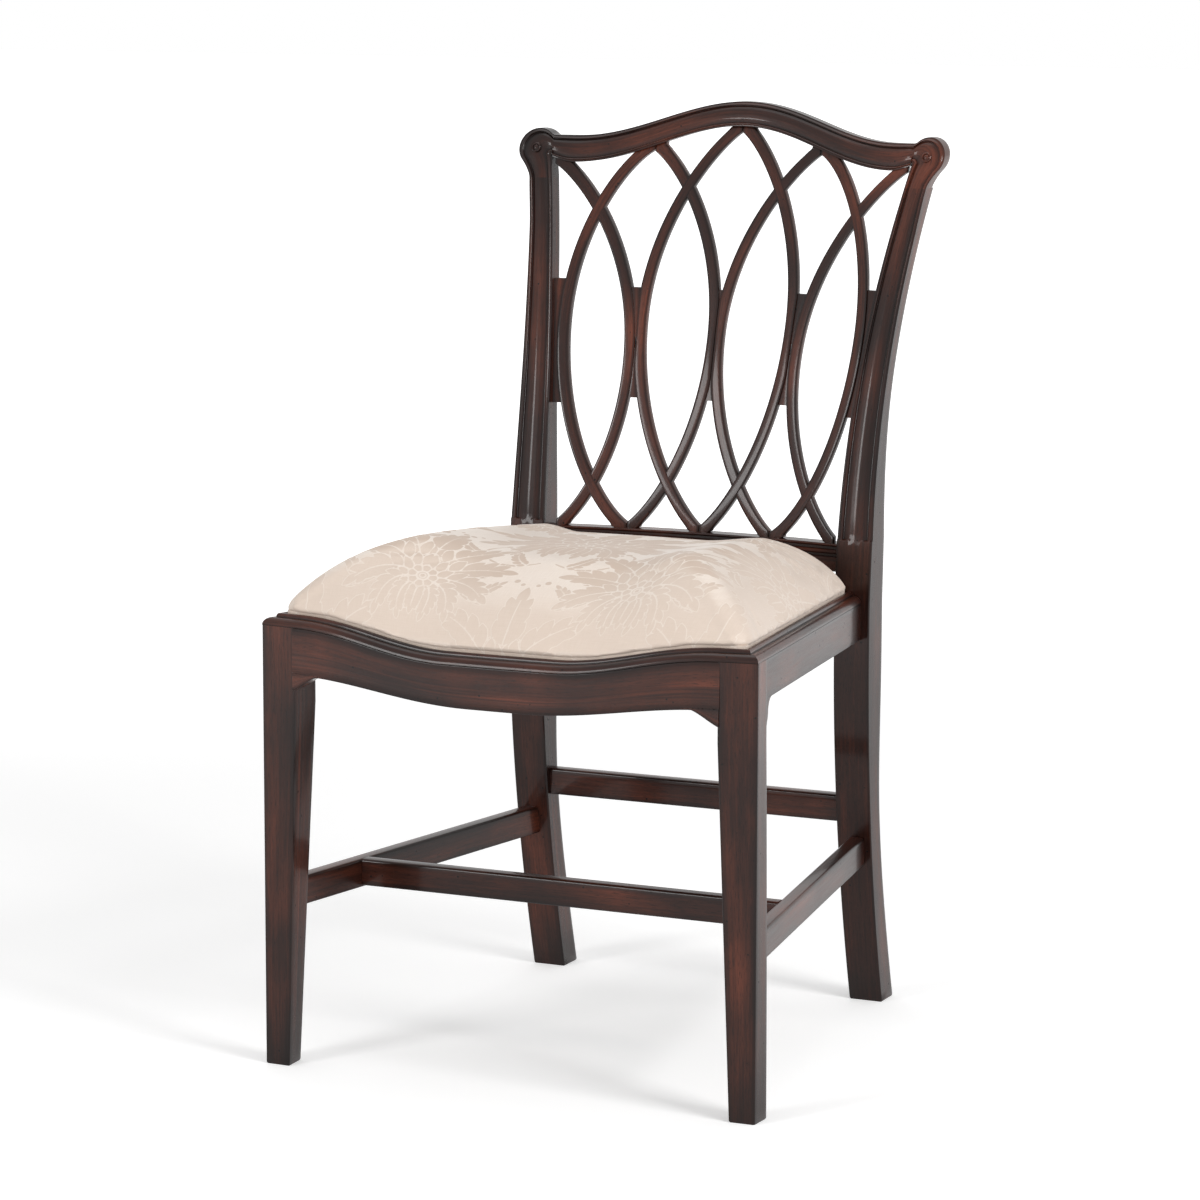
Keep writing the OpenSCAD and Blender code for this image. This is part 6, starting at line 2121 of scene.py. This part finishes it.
@dataclass(frozen=True)
class StudioFloor(Finish):
    """Pale seamless paper: it keeps the chair's shadow and fades to white far from it."""

    name: str = "studio_floor"
    pale: str = "#f6f6f6"
    paler: str = "#fbfbfb"
    near: float = 1.2
    far: float = 4.5
    near_glow: float = 0.32
    far_glow: float = 1.0

    def dress(self, tree: Tree) -> Inputs:
        """Glows for the camera and reflections alone, more with distance from the chair.

        Args:
            tree: The material's node tree.

        Returns:
            Inputs of the shader.
        """
        place = put(tree, "TexCoord", out="Object")
        cloud = put(tree, "TexNoise", {"Vector": place, "Scale": 1.5})
        colour = put(tree, "Mix", {0: cloud, 6: self.pale, 7: self.paler}, 2, data_type="RGBA")
        away = put(tree, "VectorMath", {0: place}, "Value", operation="LENGTH")
        reach = {0: away, 1: self.near, 2: self.far, 3: self.near_glow, 4: self.far_glow}
        glow = put(tree, "MapRange", reach, interpolation_type="SMOOTHSTEP")
        path = put(tree, "LightPath").node.outputs
        seen = put(tree, "Math", {0: path["Is Camera Ray"], 1: path["Is Glossy Ray"]}, operation="MAXIMUM")
        glow = put(tree, "Math", {0: glow, 1: seen}, operation="MULTIPLY")
        emission = {"Emission Color": "#ffffff", "Emission Strength": glow}
        return {"Base Color": colour, "Roughness": 0.9} | emission


# Studio


@dataclass(frozen=True)
class Shot:
    """The camera, from the photograph's own perspective."""

    azimuth: float = math.radians(24.749)
    elevation: float = math.radians(8.978)
    roll: float = math.radians(0.1416)
    lens: float = 128.5
    distance: float = 4.5357
    target: tuple[float, float, float] = (-0.01339, -0.04893, 0.4718)

    def build(self) -> None:
        """Adds the camera on a sphere about its target and makes it the scene's."""
        data = bpy.data.cameras.new("studio_camera")
        data.lens = self.lens
        data.sensor_width = 36
        data.sensor_fit = "HORIZONTAL"
        data.clip_end = 60
        data.dof.use_dof = False
        camera = bpy.data.objects.new("studio_camera", data)
        bpy.context.scene.collection.objects.link(camera)
        a, e, r = self.azimuth, self.elevation, self.roll
        back = Vector((math.sin(a) * math.cos(e), -math.cos(a) * math.cos(e), math.sin(e)))
        right = Vector((math.cos(a), math.sin(a), 0))
        up = back.cross(right)
        across = math.cos(r) * right + math.sin(r) * up
        top = -math.sin(r) * right + math.cos(r) * up
        turn = Matrix((across, top, back)).transposed().to_4x4()
        turn.translation = Vector(self.target) + self.distance * back
        camera.matrix_world = turn
        bpy.context.scene.camera = camera


@dataclass(frozen=True)
class Lamp:
    """A soft rectangular light."""

    name: str
    place: tuple[float, float, float]
    aim: tuple[float, float, float]
    size: Pair
    power: float

    def build(self) -> None:
        """Adds the light, turned to what it lights."""
        data = bpy.data.lights.new(self.name, "AREA")
        data.shape = "RECTANGLE"
        data.size, data.size_y = self.size
        data.energy = self.power
        lamp = bpy.data.objects.new(self.name, data)
        bpy.context.scene.collection.objects.link(lamp)
        lamp.location = self.place
        way = Vector(self.aim) - Vector(self.place)
        lamp.rotation_euler = way.to_track_quat("-Z", "Y").to_euler()


@dataclass(frozen=True)
class Studio:
    """A pale floor, three soft lamps, a plain white world and the camera."""

    floor_size: float = 30.0
    floor_cells: int = 8
    light: float = 0.42
    seen: float = 1.0
    lamps: tuple[Lamp, ...] = (
        Lamp("key_right", (3.2, -1.2, 2.4), (0, 0, 0.5), (1.2, 1.4), 78),
        Lamp("top_soft", (-0.4, 0.5, 3.4), (0, 0, 0.5), (1.8, 1.8), 14),
        Lamp("front_left", (-1.8, -3.6, 1.6), (0, 0, 0.7), (1.0, 1.3), 50),
    )

    def build(self) -> None:
        """Adds everything that isn't the chair."""
        self._floor()
        for lamp in self.lamps:
            lamp.build()
        self._world()
        bpy.context.scene.view_settings.view_transform = "Standard"
        Shot().build()

    def _floor(self) -> None:
        """Adds the floor, a flat grid of squares."""
        count = self.floor_cells
        x, y = np.meshgrid(*[np.linspace(-self.floor_size, self.floor_size, count + 1)] * 2)
        points = grid(x, y, 0.0).reshape(-1, 3)
        here = (np.arange(count)[:, None] * (count + 1) + np.arange(count)).ravel()
        faces = grid(here, here + 1, here + count + 2, here + count + 1)
        mesh = bpy.data.meshes.new("studio_floor")
        mesh.from_pydata(points.tolist(), [], faces.tolist())
        floor = bpy.data.objects.new("studio_floor", mesh)
        bpy.context.scene.collection.objects.link(floor)
        mesh.materials.append(StudioFloor().material())

    def _world(self) -> None:
        """Lights the room plainly, and shows the camera and reflections a white one."""
        world = bpy.data.worlds.new("studio_world")
        world.use_nodes = True
        tree = world.node_tree
        tree.nodes.clear()
        path = put(tree, "LightPath").node.outputs
        seen = put(tree, "Math", {0: path["Is Camera Ray"], 1: path["Is Glossy Ray"]}, operation="MAXIMUM")
        seen = put(tree, "Math", {0: seen, 1: path["Is Transmission Ray"]}, operation="MAXIMUM")
        level = put(tree, "MapRange", {0: seen, 3: self.light, 4: self.seen})
        sky = put(tree, "Background", {"Color": "#ffffff", "Strength": level})
        put(tree, "OutputWorld", {"Surface": sky})
        bpy.context.scene.world = world


# CAD nodes that show as they are, each with its own finish
CARRIED = {
    Slot.BEECH: (
        "corner_block_front_left",
        "corner_block_front_right",
        "corner_block_back_left",
        "corner_block_back_right",
        "seat_frame_front",
        "seat_frame_back",
        "seat_frame_left",
        "seat_frame_right",
    ),
    Slot.WEBBING: ("seat_webbing",),
    Slot.SCREWS: ("corner_block_screws",),
    Slot.DUST_CLOTH: ("dust_cover",),
}


def main() -> None:
    """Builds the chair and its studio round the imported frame."""
    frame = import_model()
    materials = {
        Slot.MAHOGANY: PolishedMahogany().material(),
        Slot.BEECH: SawnBeech().material(),
        Slot.DAMASK: IvoryDamask().material(),
        Slot.WEBBING: JuteWebbing().material(),
        Slot.SCREWS: TurnedSteel().material(),
        Slot.DUST_CLOTH: BlackDustCloth().material(),
    }
    for slot, names in CARRIED.items():
        for name in names:
            for place in frame["nodes"][name].material_slots:
                place.link = "OBJECT"
                place.material = materials[slot]
    shop = Workshop(materials)
    wood = (FrontLegs(), SeatRails(), SeatMoulding(), KneeBrackets(), BackPosts())
    for maker in wood + (CrestRail(), LowerRail(), Trellis(), Stretchers(), Cushion()):
        maker.build(shop)
        log.info("%s done", type(maker).__name__)
    Studio().build()
    log.info("made %d pieces", len(shop.made))


if __name__ == "__main__":
    main()
